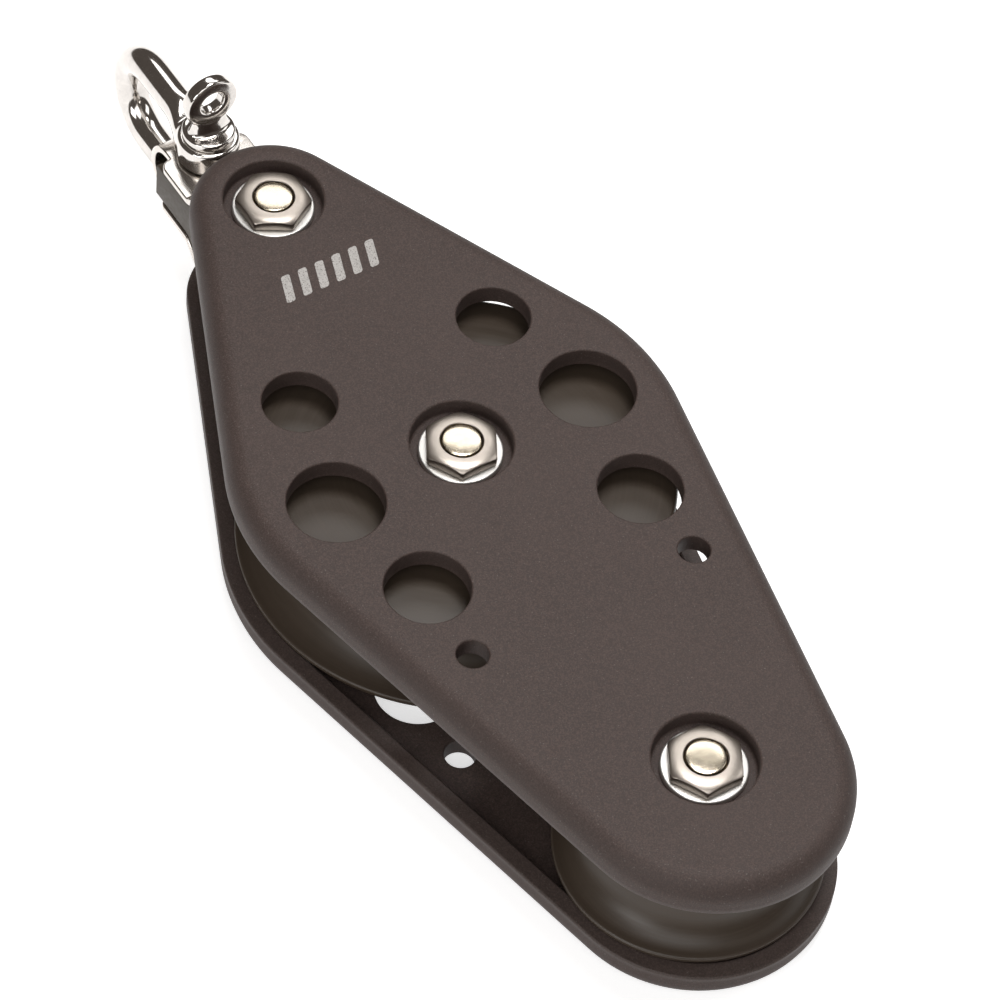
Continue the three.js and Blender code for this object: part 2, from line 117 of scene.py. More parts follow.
@dataclass
class Body:
    """A mesh in the making, in mm in the row frame, with the place that its finish is centred on."""

    name: str
    centre: Vector = field(default_factory=lambda: Vector((0, 0, 0)))
    bm: bmesh.types.BMesh = field(default_factory=bmesh.new)

    def chain(self, points: Iterable[Vector], closed: bool = False) -> list[bmesh.types.BMEdge]:
        """Lays a chain of edges through points.

        Args:
            points: places in mm.
            closed: whether the chain ends where it starts.

        Returns:
            The new edges.
        """
        verts = [self.bm.verts.new(point) for point in points]
        pairs = list(zip(verts, verts[1:]))
        if closed:
            pairs.append((verts[-1], verts[0]))
        return [self.bm.edges.new(pair) for pair in pairs]

    def turn(
        self,
        profile: Sequence[tuple[float, float]],
        at: Vector,
        steps: int = 96,
        axis: Vector = UP,
        start: Vector = Vector((1, 0, 0)),
        closed: bool = False,
    ) -> list[bmesh.types.BMVert]:
        """Spins a profile once round an axis.

        Args:
            profile: (radius, height) points in mm.
            at: a point on the axis that heights are counted from.
            steps: segments round.
            axis: direction of the axis.
            start: direction of the radius that the spin starts from.
            closed: whether the profile closes on itself.

        Returns:
            The new vertices.
        """
        known = set(self.bm.verts)
        places = [at + start * radius + axis * height for radius, height in profile]
        edges = self.chain(places, closed)
        verts = {vert for edge in edges for vert in edge.verts}
        bmesh.ops.spin(
            self.bm, geom=[*verts, *edges], cent=at, axis=axis, dvec=(0, 0, 0),
            angle=math.tau, steps=steps, use_merge=True, use_duplicate=False,
        )
        return [vert for vert in self.bm.verts if vert not in known]

    def lift(self, height: float) -> None:
        """Extrudes every face upward, which gives a flat sheet its thickness.

        Args:
            height: how far.
        """
        made = bmesh.ops.extrude_face_region(self.bm, geom=list(self.bm.faces))["geom"]
        fresh = [item for item in made if isinstance(item, bmesh.types.BMVert)]
        bmesh.ops.translate(self.bm, verts=fresh, vec=(0, 0, height))

    def weld(self, distance: float = 1e-3) -> None:
        """Merges vertices that meet."""
        bmesh.ops.remove_doubles(self.bm, verts=self.bm.verts, dist=distance)

    def finish(self, sharp: float = 40.0, as_made: bool = False) -> bpy.types.Object:
        """Turns the mesh into an object at the origin, in metres, and links it.

        Args:
            sharp: angle in degrees above which an edge stays sharp.
            as_made: whether to leave the faces as they were made instead of turning them outward.

        Returns:
            The object.
        """
        if not as_made:
            bmesh.ops.recalc_face_normals(self.bm, faces=self.bm.faces)
        layer = self.bm.verts.layers.float_vector.new(LOCAL)
        for vert in self.bm.verts:
            vert[layer] = vert.co - self.centre
        for face in self.bm.faces:
            face.smooth = True
        limit = math.radians(sharp)
        for edge in self.bm.edges:
            edge.smooth = len(edge.link_faces) == 2 and edge.calc_face_angle(0) < limit
        bmesh.ops.scale(self.bm, verts=self.bm.verts, vec=(MM, MM, MM))
        mesh = bpy.data.meshes.new(self.name)
        self.bm.to_mesh(mesh)
        self.bm.free()
        piece = bpy.data.objects.new(self.name, mesh)
        bpy.context.scene.collection.objects.link(piece)
        return piece


def node_box(node: str) -> tuple[Vector, Vector]:
    """Lowest and highest corner of a CAD node in mm."""
    low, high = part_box(node)
    return low / MM, high / MM


def node_centre(node: str) -> Vector:
    """Middle of a CAD node's box in mm."""
    low, high = node_box(node)
    return (low + high) / 2


# ---------------------------------------------------------------------------------------------
# Finishes
# ---------------------------------------------------------------------------------------------


@dataclass
class Wire:
    """A number's socket in a material, with operators that add Math nodes."""

    sketch: "Sketch"
    socket: bpy.types.NodeSocket

    def math(self, operation: str, *others: "Wire | float", clamp: bool = False) -> "Wire":
        """Adds a Math node with this socket as its first value.

        Args:
            operation: the node's operation.
            others: its other values.
            clamp: whether the result is kept between 0 and 1.

        Returns:
            The node's result.
        """
        values = dict(enumerate((self, *others)))
        made = self.sketch.node("ShaderNodeMath", {"operation": operation, "use_clamp": clamp}, values)
        return Wire(self.sketch, made.outputs[0])

    def __add__(self, other: "Wire | float") -> "Wire":
        """Sum."""
        return self.math("ADD", other)

    __radd__ = __add__

    def __mul__(self, other: "Wire | float") -> "Wire":
        """Product."""
        return self.math("MULTIPLY", other)

    __rmul__ = __mul__

    def __sub__(self, other: "Wire | float") -> "Wire":
        """Difference."""
        return self.math("SUBTRACT", other)

    def __rsub__(self, other: float) -> "Wire":
        """Difference from a plain number."""
        return (self * -1.0) + other

    def __pow__(self, other: "Wire | float") -> "Wire":
        """Power."""
        return self.math("POWER", other)

    def ease(self, low: float, high: float, to_low: float = 0.0, to_high: float = 1.0) -> "Wire":
        """Maps a range of values onto another along a smooth step, held at its ends.

        Args:
            low: value that gives to_low.
            high: value that gives to_high.
            to_low: first result.
            to_high: last result.

        Returns:
            The mapped value.
        """
        sockets = {"Value": self, "From Min": low, "From Max": high, "To Min": to_low, "To Max": to_high}
        made = self.sketch.node("ShaderNodeMapRange", {"interpolation_type": "SMOOTHSTEP"}, sockets)
        return Wire(self.sketch, made.outputs["Result"])


@dataclass(frozen=True)
class Tint:
    """A colour as its red, green and blue shares of light."""

    red: float
    green: float
    blue: float

    def rgba(self) -> tuple[float, float, float, float]:
        """The colour as a socket's value."""
        return (self.red, self.green, self.blue, 1.0)

    def lit(self, share: float) -> "Tint":
        """The colour brightened or darkened by a share."""
        return Tint(self.red * share, self.green * share, self.blue * share)


class Sketch:
    """A material in the making: its node tree and the Principled shader at its end."""

    def __init__(self, name: str) -> None:
        """Starts a material.

        Args:
            name: the material's name.
        """
        self.material = bpy.data.materials.new(name)
        self.material.use_nodes = True
        self.tree = self.material.node_tree
        self.shader = next(node for node in self.tree.nodes if node.type == "BSDF_PRINCIPLED")

    def put(self, socket: bpy.types.NodeSocket, value: object) -> None:
        """Sets a socket to a value, or links it.

        Args:
            socket: the socket.
            value: a wire, another socket, a tint or a plain value.
        """
        if isinstance(value, Wire):
            self.tree.links.new(value.socket, socket)
        elif isinstance(value, bpy.types.NodeSocket):
            self.tree.links.new(value, socket)
        elif isinstance(value, Tint):
            socket.default_value = value.rgba()
        else:
            socket.default_value = value

    def node(
        self, kind: str, settings: dict[str, object] | None = None,
        sockets: dict[object, object] | None = None,
    ) -> bpy.types.Node:
        """Adds a node.

        Args:
            kind: the node's type.
            settings: its settings, which are set first.
            sockets: values or links of its sockets, by name or number.

        Returns:
            The node.
        """
        made = self.tree.nodes.new(kind)
        for key, value in (settings or {}).items():
            setattr(made, key, value)
        for key, value in (sockets or {}).items():
            self.put(made.inputs[key], value)
        return made

    def surface(self, **sockets: object) -> bpy.types.Material:
        """Sets the Principled shader's sockets, underscores standing for spaces, and ends the material."""
        for key, value in sockets.items():
            self.put(self.shader.inputs[key.replace("_", " ")], value)
        return self.material

    def place(self) -> bpy.types.NodeSocket:
        """The point of the surface in mm from the piece's own centre."""
        return self.node("ShaderNodeAttribute", {"attribute_name": LOCAL}).outputs["Vector"]

    def axes(self) -> tuple[Wire, Wire, Wire]:
        """The point's three coordinates."""
        split = self.node("ShaderNodeSeparateXYZ", sockets={0: self.place()})
        return tuple(Wire(self, out) for out in split.outputs)

    def noise(
        self, scale: float, detail: float = 2.0, rough: float = 0.5, at: object = None, warp: float = 0.0
    ) -> Wire:
        """Cloudy noise.

        Args:
            scale: lumps per mm.
            detail: number of finer layers.
            rough: strength of the finer layers.
            at: vector to read it at, or None for the piece's own place.
            warp: how far the noise bends itself.

        Returns:
            Its value, about 0.5 in the middle.
        """
        sockets = {"Vector": at or self.place(), "Scale": scale, "Detail": detail, "Roughness": rough,
                   "Distortion": warp}
        made = self.node("ShaderNodeTexNoise", {"noise_dimensions": "3D"}, sockets)
        return Wire(self, made.outputs[0])

    def blend(self, share: Wire, first: object, second: object, how: str = "MIX") -> bpy.types.NodeSocket:
        """Mixes two colours.

        Args:
            share: amount of the second.
            first: colour at 0.
            second: colour at 1.
            how: blend type.

        Returns:
            The mixed colour.
        """
        settings = {"data_type": "RGBA", "blend_type": how, "clamp_factor": True}
        made = self.node("ShaderNodeMix", settings, {0: share, 6: first, 7: second})
        return made.outputs[2]

    def polar(self, turns: float, rings: float, lift: float) -> bpy.types.NodeSocket:
        """Coordinates that follow the piece's own upright axis.

        Args:
            turns: stretch round the axis.
            rings: stretch outward.
            lift: stretch along the axis.

        Returns:
            A vector of radius, turn and height.
        """
        x, y, z = self.axes()
        radius = ((x * x) + (y * y)) ** 0.5
        turn = y.math("ARCTAN2", x)
        made = self.node("ShaderNodeCombineXYZ", sockets={0: radius * rings, 1: turn * turns, 2: z * lift})
        return made.outputs[0]

    def relief(self, height: Wire, depth: float, under: object = None) -> bpy.types.NodeSocket:
        """Turns a height into a normal.

        Args:
            height: the relief's height from 0 to 1.
            depth: height of 1 in mm.
            under: another relief that this one lies on.

        Returns:
            The normal.
        """
        sockets = {"Height": height, "Distance": depth * MM, "Strength": 1.0}
        if under is not None:
            sockets["Normal"] = under
        return self.node("ShaderNodeBump", sockets=sockets).outputs[0]


@dataclass(frozen=True)
class GrainedNylon:
    """Glass-filled nylon moulding: matte, dark warm grey, with a fine spark-eroded grain. Its colour also
    carries painted shade on the rounded outer edge and down the walls of the recesses and holes, and a
    painted highlight along the lip's lower edge.
    """

    name: str = "grained_nylon"
    body: Tint = Tint(0.054, 0.037, 0.032)
    # The pale tint colours the glass flecks, and it is also the colour of the painted highlight on the lip's
    # edge.
    pale: Tint = Tint(0.19, 0.165, 0.15)
    grain: float = 3.4
    outer_depth: float = 0.0
    outward: float = 1.0

    def make(self) -> bpy.types.Material:
        """Builds the material."""
        sketch = Sketch(self.name)
        cloud = sketch.noise(0.035, 3.0).ease(0.3, 0.7)
        grain = sketch.noise(self.grain, 3.0, 0.65)
        fleck = sketch.noise(self.grain * 0.8, 1.0).ease(0.66, 0.78)
        dust = sketch.noise(0.55, 4.0, 0.7).ease(0.5, 0.72)
        # Depth below the outer face in mm, which places the painted shade and the painted highlight below.
        depth = (sketch.axes()[2] * -self.outward) + self.outer_depth
        # Painted highlight: a mask over everything from 5.9 to 6.6 mm below the outer face and deeper, that
        # is, the lower side wall, the lip and the bosses.
        rim = depth.ease(5.9, 6.6)
        # Painted shade: a mask over the rounded outer edge and the walls of the recesses and holes, from just
        # under the outer face to about 3.6 mm down.
        shade = depth.ease(0.05, 1.2) * (1.0 - depth.ease(3.0, 3.6))
        base = sketch.blend(cloud, self.body.lit(0.92), self.body.lit(1.06))
        base = sketch.blend(grain.ease(0.4, 0.64), base, self.body.lit(1.7))
        base = sketch.blend(fleck * 0.6, base, self.pale)
        # Painted shade: the masked edge and walls are darkened towards a darker copy of the body colour.
        base = sketch.blend(shade * 0.3, base, self.body.lit(0.7))
        # Painted highlight: the masked lip edge is lightened towards the pale tint.
        base = sketch.blend(rim * 0.1, base, self.pale)
        rough = grain.ease(0.3, 0.7, 0.56, 0.66) + (dust * 0.05)
        return sketch.surface(
            Base_Color=base,
            Roughness=rough - (rim * 0.1),
            Specular_IOR_Level=0.42,
            Normal=sketch.relief(grain, 0.055, sketch.relief(sketch.noise(0.8, 2.0), 0.03)),
        )


@dataclass(frozen=True)
class SatinAcetal:
    """Turned acetal with a satin face, and fine rings left by the tool."""

    name: str
    body: Tint
    roughness: float = 0.4
    rings: float = 2.4
    depth: float = 0.006

    def make(self) -> bpy.types.Material:
        """Builds the material."""
        sketch = Sketch(self.name)
        tool = sketch.noise(1.0, 3.0, 0.6, sketch.polar(0.35, self.rings, self.rings))
        cloud = sketch.noise(0.07, 3.0).ease(0.3, 0.7)
        scuff = sketch.noise(0.9, 4.0, 0.7, warp=0.6).ease(0.6, 0.78)
        base = sketch.blend(cloud, self.body.lit(0.93), self.body.lit(1.07))
        base = sketch.blend(tool.ease(0.4, 0.66) * 0.35, base, self.body.lit(1.25))
        base = sketch.blend(scuff * 0.16, base, self.body.lit(1.6))
        return sketch.surface(
            Base_Color=base,
            Roughness=(tool.ease(0.3, 0.7, -0.04, 0.05) + (scuff * 0.08)) + self.roughness,
            Specular_IOR_Level=0.5,
            Normal=sketch.relief(tool, self.depth, sketch.relief(sketch.noise(2.6, 3.0), 0.006)),
        )


class Lay(Enum):
    """Direction that the marks in a metal run in."""

    ROUND = "round the piece's axis"
    LENGTHWISE = "along the piece"
    CLOUDY = "no one way"


@dataclass(frozen=True)
class Stainless:
    """Stainless steel, from brushed to polished."""

    name: str
    body: Tint
    roughness: float
    lay: Lay = Lay.ROUND
    spread: float = 0.05
    marks: float = 6.0
    depth: float = 0.004
    tip_height: float | None = None
    tip: Tint = Tint(0.68, 0.6, 0.47)

    def marking(self, sketch: Sketch) -> Wire:
        """Value of the tool marks.

        Args:
            sketch: the material that they are drawn in.

        Returns:
            The marks, about 0.5 in the middle.
        """
        if self.lay is Lay.ROUND:
            return sketch.noise(1.0, 4.0, 0.7, sketch.polar(0.5, self.marks, self.marks))
        if self.lay is Lay.LENGTHWISE:
            x, y, z = sketch.axes()
            streak = sketch.node("ShaderNodeCombineXYZ", sockets={
                0: x * self.marks, 1: y * (self.marks * 0.04), 2: z * self.marks})
            return sketch.noise(1.0, 4.0, 0.7, streak.outputs[0])
        return sketch.noise(self.marks * 0.25, 5.0, 0.72, warp=0.8)

    def make(self) -> bpy.types.Material:
        """Builds the material."""
        sketch = Sketch(self.name)
        marks = self.marking(sketch)
        smear = sketch.noise(0.22, 4.0, 0.6, warp=1.2).ease(0.35, 0.72)
        pits = sketch.noise(5.0, 1.0).ease(0.7, 0.8)
        base = sketch.blend(smear, self.body.lit(1.04), self.body.lit(0.93))
        base = sketch.blend(marks.ease(0.42, 0.7) * 0.5, base, self.body.lit(0.84))
        rough = marks.ease(0.3, 0.7, -self.spread, self.spread) + (smear * self.spread) + self.roughness
        if self.tip_height is not None:
            end = sketch.axes()[2].ease(self.tip_height - 0.1, self.tip_height + 0.1)
            stain = sketch.noise(0.5, 3.0).ease(0.35, 0.65)
            base = sketch.blend(end, base, sketch.blend(stain, self.tip, self.tip.lit(0.86)))
            rough = (rough * (1.0 - end)) + (end * (self.roughness * 0.75))
        return sketch.surface(
            Base_Color=base,
            Metallic=1.0,
            Roughness=rough + (pits * 0.12),
            Normal=sketch.relief(marks, self.depth, sketch.relief(pits, -0.004)),
        )


@dataclass(frozen=True)
class SilverInk:
    """Pad-printed silver ink, grainy and a little thin in places."""

    name: str = "silver_ink"
    body: Tint = Tint(0.44, 0.42, 0.40)
    thin: Tint = Tint(0.16, 0.14, 0.13)

    def make(self) -> bpy.types.Material:
        """Builds the material."""
        sketch = Sketch(self.name)
        grain = sketch.noise(3.2, 3.0, 0.7)
        worn = sketch.noise(0.5, 3.0).ease(0.5, 0.75)
        base = sketch.blend(grain.ease(0.52, 0.66), self.body.lit(1.1), self.thin)
        base = sketch.blend(worn * 0.4, base, self.body.lit(0.7))
        return sketch.surface(
            Base_Color=base,
            Metallic=0.35,
            Roughness=grain.ease(0.3, 0.7, 0.4, 0.6),
            Normal=sketch.relief(grain, 0.02),
        )


@dataclass(frozen=True)
class StudioPaper:
    """Pale backdrop paper that glows a little, as an evenly lit sweep does."""

    name: str = "studio_paper"
    glow: float = 0.64

    def make(self) -> bpy.types.Material:
        """Builds the material."""
        sketch = Sketch(self.name)
        tooth = sketch.noise(0.02, 3.0)
        base = sketch.blend(tooth.ease(0.3, 0.7), Tint(0.88, 0.88, 0.88), Tint(0.9, 0.9, 0.9))
        return sketch.surface(
            Base_Color=base,
            Roughness=0.9,
            Specular_IOR_Level=0.1,
            Emission_Color=Tint(1.0, 1.0, 1.0),
            Emission_Strength=self.glow,
        )


class Finish(Enum):
    """The finishes of the block, each with the record's slot that it belongs to."""

    UPPER_CHEEK = ("cheek_plastic", GrainedNylon("grained_nylon_upper", outward=1.0, outer_depth=2.2))
    LOWER_CHEEK = ("cheek_plastic", GrainedNylon("grained_nylon_lower", outward=-1.0, outer_depth=2.2))
    SHEAVE = ("sheave_plastic", SatinAcetal("sheave_acetal", Tint(0.066, 0.048, 0.034)))
    HEAD_FILLER = ("sheave_plastic", SatinAcetal("filler_acetal", Tint(0.05, 0.036, 0.022), 0.5, 1.2))
    BEARING = ("bearing_plastic", SatinAcetal("bearing_acetal", Tint(0.7, 0.66, 0.57), 0.45, 3.0))
    NUT = ("brushed_steel", Stainless("nut_steel", Tint(0.48, 0.43, 0.38), 0.33, marks=5.0))
    BOLT = ("brushed_steel", Stainless(
        "bolt_steel", Tint(0.55, 0.51, 0.46), 0.26, marks=5.0, tip_height=17.0))
    SLEEVE = ("brushed_steel", Stainless("sleeve_steel", Tint(0.66, 0.63, 0.6), 0.3, marks=4.0))
    WASHER = ("washer_steel", Stainless("washer_steel", Tint(0.86, 0.84, 0.81), 0.22, marks=3.0))
    STRAP = ("polished_steel", Stainless(
        "strap_steel", Tint(0.66, 0.62, 0.58), 0.2, Lay.LENGTHWISE, 0.03, 5.0, 0.003))
    SHACKLE = ("polished_steel", Stainless(
        "shackle_steel", Tint(0.66, 0.63, 0.60), 0.1, Lay.CLOUDY, 0.02, 2.0, 0.003))
    INK = ("cheek_plastic", SilverInk())

    def dress(self, piece: bpy.types.Object, body: str, nodes: Sequence[str] = ()) -> bpy.types.Object:
        """Gives a piece its material, and ties it to the frame.

        Args:
            piece: the finished object.
            body: the CAD body that it rides on.
            nodes: the CAD nodes that it stands for.

        Returns:
            The piece.
        """
        slot, recipe = self.value
        made = bpy.data.materials.get(recipe.name) or recipe.make()
        piece.data.materials.append(made)
        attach(piece, body)
        if nodes:
            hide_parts(*nodes)
        LOG.info("%s rides on %s in %s", piece.name, body, recipe.name)
        return piece


# ---------------------------------------------------------------------------------------------
# Cheeks
# ---------------------------------------------------------------------------------------------


@dataclass(frozen=True)
class Disc:
    """A circle in the plan: its place along from the main axle, its radius, and how far off it is."""

    along: float
    radius: float
    off: float = 0.0


@dataclass
class Cheeks:
    """The two moulded cheek plates with their bosses, recesses and lightening holes."""

    head: Disc = Disc(68.0, 16.05)
    waist: Disc = Disc(0.0, 43.8)
    tail: Disc = Disc(-82.3, 26.5)
    thickness: float = 4.4
    edge_round: float = 4.5
    lip_depth: float = 7.3
    lip_width: float = 3.6
    recess_radius: float = 9.7
    recess_depth: float = 3.6
    bolt_hole_radius: float = 4.3
    boss_radius: float = 12.0
    boss_height: float = 3.4
    boss_margin: float = 1.9
    hole_round: float = 0.4
    holes: tuple[Disc, ...] = (
        Disc(22.6, 7.1, 21.3), Disc(-0.7, 9.15, 27.5), Disc(-25.2, 8.0, 23.1), Disc(-41.7, 3.0, 23.9),
    )

    def build(self) -> None:
        """Builds both plates."""
        self.plate("upper_cheek", node_box("upper_cheek")[1].z, 1.0, Finish.UPPER_CHEEK)
        self.plate("lower_cheek", node_box("lower_cheek")[0].z, -1.0, Finish.LOWER_CHEEK)

    def outline(
        self, body: Body, datum: Vector, height: float, inset: float = 0.0,
    ) -> list[bmesh.types.BMEdge]:
        """Draws the belt round the head, waist and tail circles.

        Args:
            body: the mesh to draw in.
            datum: the main axle.
            height: Z of the drawing.
            inset: how far inside the cheek's outline it runs.

        Returns:
            The closed outline's edges.
        """
        rise = math.asin((self.waist.radius - self.head.radius) / (self.head.along - self.waist.along))
        fall = math.asin((self.waist.radius - self.tail.radius) / (self.waist.along - self.tail.along))
        known = set(body.bm.edges)
        arcs = (
            (self.head, rise, math.pi - rise, 56), (self.waist, math.pi - rise, math.pi + fall, 36),
            (self.tail, math.pi + fall, math.tau - fall, 72), (self.waist, -fall, rise, 36),
        )
        ends: list[tuple[bmesh.types.BMVert, bmesh.types.BMVert]] = []
        for disc, start, end, steps in arcs:
            centre = Vector((0, datum.y + disc.along, height))
            spoke = Vector((math.cos(start), math.sin(start), 0)) * (disc.radius - inset)
            first = body.bm.verts.new(centre + spoke)
            made = bmesh.ops.spin(
                body.bm, geom=[first], cent=centre, axis=UP, dvec=(0, 0, 0), angle=end - start,
                steps=steps, use_merge=False, use_duplicate=False,
            )
            last = next(item for item in made["geom_last"] if isinstance(item, bmesh.types.BMVert))
            ends.append((first, last))
        for (_, last), (first, _) in zip(ends, ends[1:] + ends[:1]):
            body.bm.edges.new((last, first))
        return [edge for edge in body.bm.edges if edge not in known]

    def rim_section(self) -> list[tuple[float, float]]:
        """The rim's section from the flat outer face round the edge and lip to the flat inner face.

        Returns:
            Its points as (inset from the outline, depth below the outer face).
        """
        corners = [
            Corner(self.edge_round + 2, 0), Corner(0, 0, self.edge_round), Corner(0, self.lip_depth, 0.45),
            Corner(self.lip_width, self.lip_depth, 0.6), Corner(self.lip_width, self.thickness, 0.9),
            Corner(self.lip_width + 3, self.thickness),
        ]
        return rounded(corners, 8)[1:-1]

    def plate(self, node: str, outer: float, outward: float, finish: Finish) -> None:
        """Builds one plate.

        Args:
            node: the CAD node that it stands for.
            outer: Z of its outer face.
            outward: +1 where that faces up, -1 where it faces down.
            finish: its finish.
        """
        datum = node_centre("main_nut_washer")
        middle = Vector((0, datum.y, outer - outward * self.thickness / 2))
        body = Body(f"fine_{node}", middle)
        loops = [
            self.outline(body, datum, outer - outward * depth, inset) for inset, depth in self.rim_section()
        ]
        for first, second in zip(loops, loops[1:]):
            bmesh.ops.bridge_loops(body.bm, edges=[*first, *second])
        for disc in self.holes:
            for side in (-1, 1):
                at = Vector((side * disc.off, datum.y + disc.along, outer))
                self.through_hole(body, at, disc.radius, outward)
        for axle in ("head", "main", "tail"):
            at = node_centre(f"{axle}_nut_washer")
            boss = self.boss_radius
            if axle == "head":
                boss = min(boss, self.head.radius - self.lip_width - self.boss_margin)
            self.bolt_seat(body, Vector((at.x, at.y, outer)), outward, boss)
        for height in (outer, outer - outward * self.thickness):
            loose = [
                edge for edge in body.bm.edges
                if edge.is_boundary and all(abs(vert.co.z - height) < 1e-3 for vert in edge.verts)
            ]
            bmesh.ops.triangle_fill(body.bm, edges=loose, use_beauty=True, normal=UP)
        body.weld()
        piece = body.finish()
        flat = piece.modifiers.new("flat_faces", "WEIGHTED_NORMAL")
        flat.mode, flat.weight, flat.keep_sharp = "FACE_AREA", 80, True
        finish.dress(piece, "block", [node])

    def through_hole(self, body: Body, at: Vector, radius: float, outward: float) -> None:
        """Lines a lightening hole.

        Args:
            body: the plate.
            at: middle of the hole on the outer face.
            radius: the hole's radius.
            outward: the plate's outward direction.
        """
        lip, far = self.hole_round, self.thickness
        corners = [
            Corner(radius + 2 * lip, 0), Corner(radius, 0, lip), Corner(radius, -outward * far, lip),
            Corner(radius + 2 * lip, -outward * far),
        ]
        body.turn(rounded(corners, 4)[1:-1], at, 72)

    def bolt_seat(self, body: Body, at: Vector, outward: float, boss: float) -> None:
        """Lines an axle's recess and bolt hole, and raises its boss on the inner face.

        Args:
            body: the plate.
            at: the axle on the outer face.
            outward: the plate's outward direction.
            boss: radius of the boss.
        """
        floor, back = -outward * self.recess_depth, -outward * (self.thickness + self.boss_height)
        inner = -outward * self.thickness
        corners = [
            Corner(self.recess_radius + 2, 0), Corner(self.recess_radius, 0, 0.5),
            Corner(self.recess_radius, floor, 0.5), Corner(self.bolt_hole_radius, floor, 0.15),
            Corner(self.bolt_hole_radius, back, 0.15), Corner(boss, back, 0.5),
            Corner(boss, inner, 0.7), Corner(boss + 2, inner),
        ]
        body.turn(rounded(corners, 5)[1:-1], at, 96)


@dataclass
class PrintedBars:
    """A plain row of slanted bars printed on the upper cheek, below the head bolt."""

    along: float = 47.0
    count: int = 6
    pitch: float = 3.7
    bar: tuple[float, float] = (1.9, 6.2)
    slant: float = 0.35
    height: float = 0.04
    clear: float = 0.005
    corner: float = 0.55

    def build(self) -> None:
        """Builds the print."""
        datum = node_centre("main_nut_washer")
        face = node_box("upper_cheek")[1].z
        middle = Vector((0, datum.y + self.along, face))
        body = Body("printed_bars", middle)
        for index in range(self.count):
            off = (index - (self.count - 1) / 2) * self.pitch
            made = bmesh.ops.create_grid(body.bm, x_segments=1, y_segments=1, size=0.5)["verts"]
            bmesh.ops.scale(body.bm, verts=made, vec=(self.bar[0], self.bar[1], 1))
            for vert in made:
                vert.co.x += vert.co.y * self.slant
            bmesh.ops.translate(body.bm, verts=made, vec=middle + Vector((off, 0, self.clear)))
        bmesh.ops.bevel(
            body.bm, geom=list(body.bm.verts), offset=self.corner, affect="VERTICES", segments=5,
            profile=0.5, material=-1,
        )
        body.lift(self.height)
        Finish.INK.dress(body.finish(), "block")


# ---------------------------------------------------------------------------------------------
# Sheaves and bearings
# ---------------------------------------------------------------------------------------------


@dataclass
class SheaveSet:
    """A sheave with its bush, the sleeve that it turns on, and the two thrust washers."""

    name: str
    radius: float
    groove_depth: float
    half_width: float = 10.3
    rim_flat: float = 1.6
    hub_radius: float = 13.0
    hub_depth: float = 1.6
    bush_wall: float = 2.2
    bush_fit: float = 0.03
    sleeve_bore: float = 4.15
    washer_bore: float = 6.8

    def build(self) -> None:
        """Builds the sheave and its bearing."""
        self.sheave()
        self.tube(f"{self.name}_bush", f"{self.name}_sheave", 0.35, Finish.BEARING)
        self.tube(f"{self.name}_sleeve", "block", 0.3, Finish.SLEEVE, self.sleeve_bore)
        for side in ("lower", "upper"):
            self.tube(f"{self.name}_{side}_thrust_washer", "block", 0.2, Finish.BEARING, self.washer_bore)

    def sheave(self) -> None:
        """Builds the grooved wheel."""
        node = f"{self.name}_sheave"
        bush_low, bush_high = node_box(f"{self.name}_bush")
        bore = (bush_high.x - bush_low.x) / 2 + self.bush_fit
        hub, half = self.half_width - self.hub_depth, self.half_width
        top = [
            Corner(bore, hub, 0.3), Corner(self.hub_radius, hub, 0.4), Corner(self.hub_radius, half, 0.3),
            Corner(self.radius, half, 0.8), Corner(self.radius, half - self.rim_flat, 0.45),
        ]
        steps = 28
        groove = []
        for step in range(1, steps):
            turn = math.pi * step / steps
            sunk = self.radius - self.groove_depth * math.sin(turn)
            groove.append(Corner(sunk, (half - self.rim_flat) * math.cos(turn)))
        bottom = [Corner(each.radius, -each.height, each.round) for each in reversed(top)]
        centre = node_centre(node)
        body = Body(f"fine_{node}", centre)
        body.turn(rounded([*top, *groove, *bottom], 4, closed=True), centre, 180, closed=True)
        body.weld()
        Finish.SHEAVE.dress(body.finish(), node, [node])

    def tube(self, node: str, rides: str, lip: float, finish: Finish, inner: float | None = None) -> None:
        """Builds a plain ring round the axle from its CAD box.

        Args:
            node: the CAD node.
            rides: the CAD body.
            lip: the round on its edges.
            finish: its finish.
            inner: its bore radius, or None for the running bore of the bush.
        """
        low, high = node_box(node)
        outer, half = (high.x - low.x) / 2, (high.z - low.z) / 2
        bore = outer - self.bush_wall if inner is None else inner
        corners = [
            Corner(bore, -half, lip), Corner(outer, -half, lip), Corner(outer, half, lip),
            Corner(bore, half, lip),
        ]
        centre = node_centre(node)
        body = Body(f"fine_{node}", centre)
        body.turn(rounded(corners, 3, closed=True), centre, 72, closed=True)
        body.weld()
        finish.dress(body.finish(), rides, [node])


# ---------------------------------------------------------------------------------------------
# Bolts, nuts and washers
# ---------------------------------------------------------------------------------------------


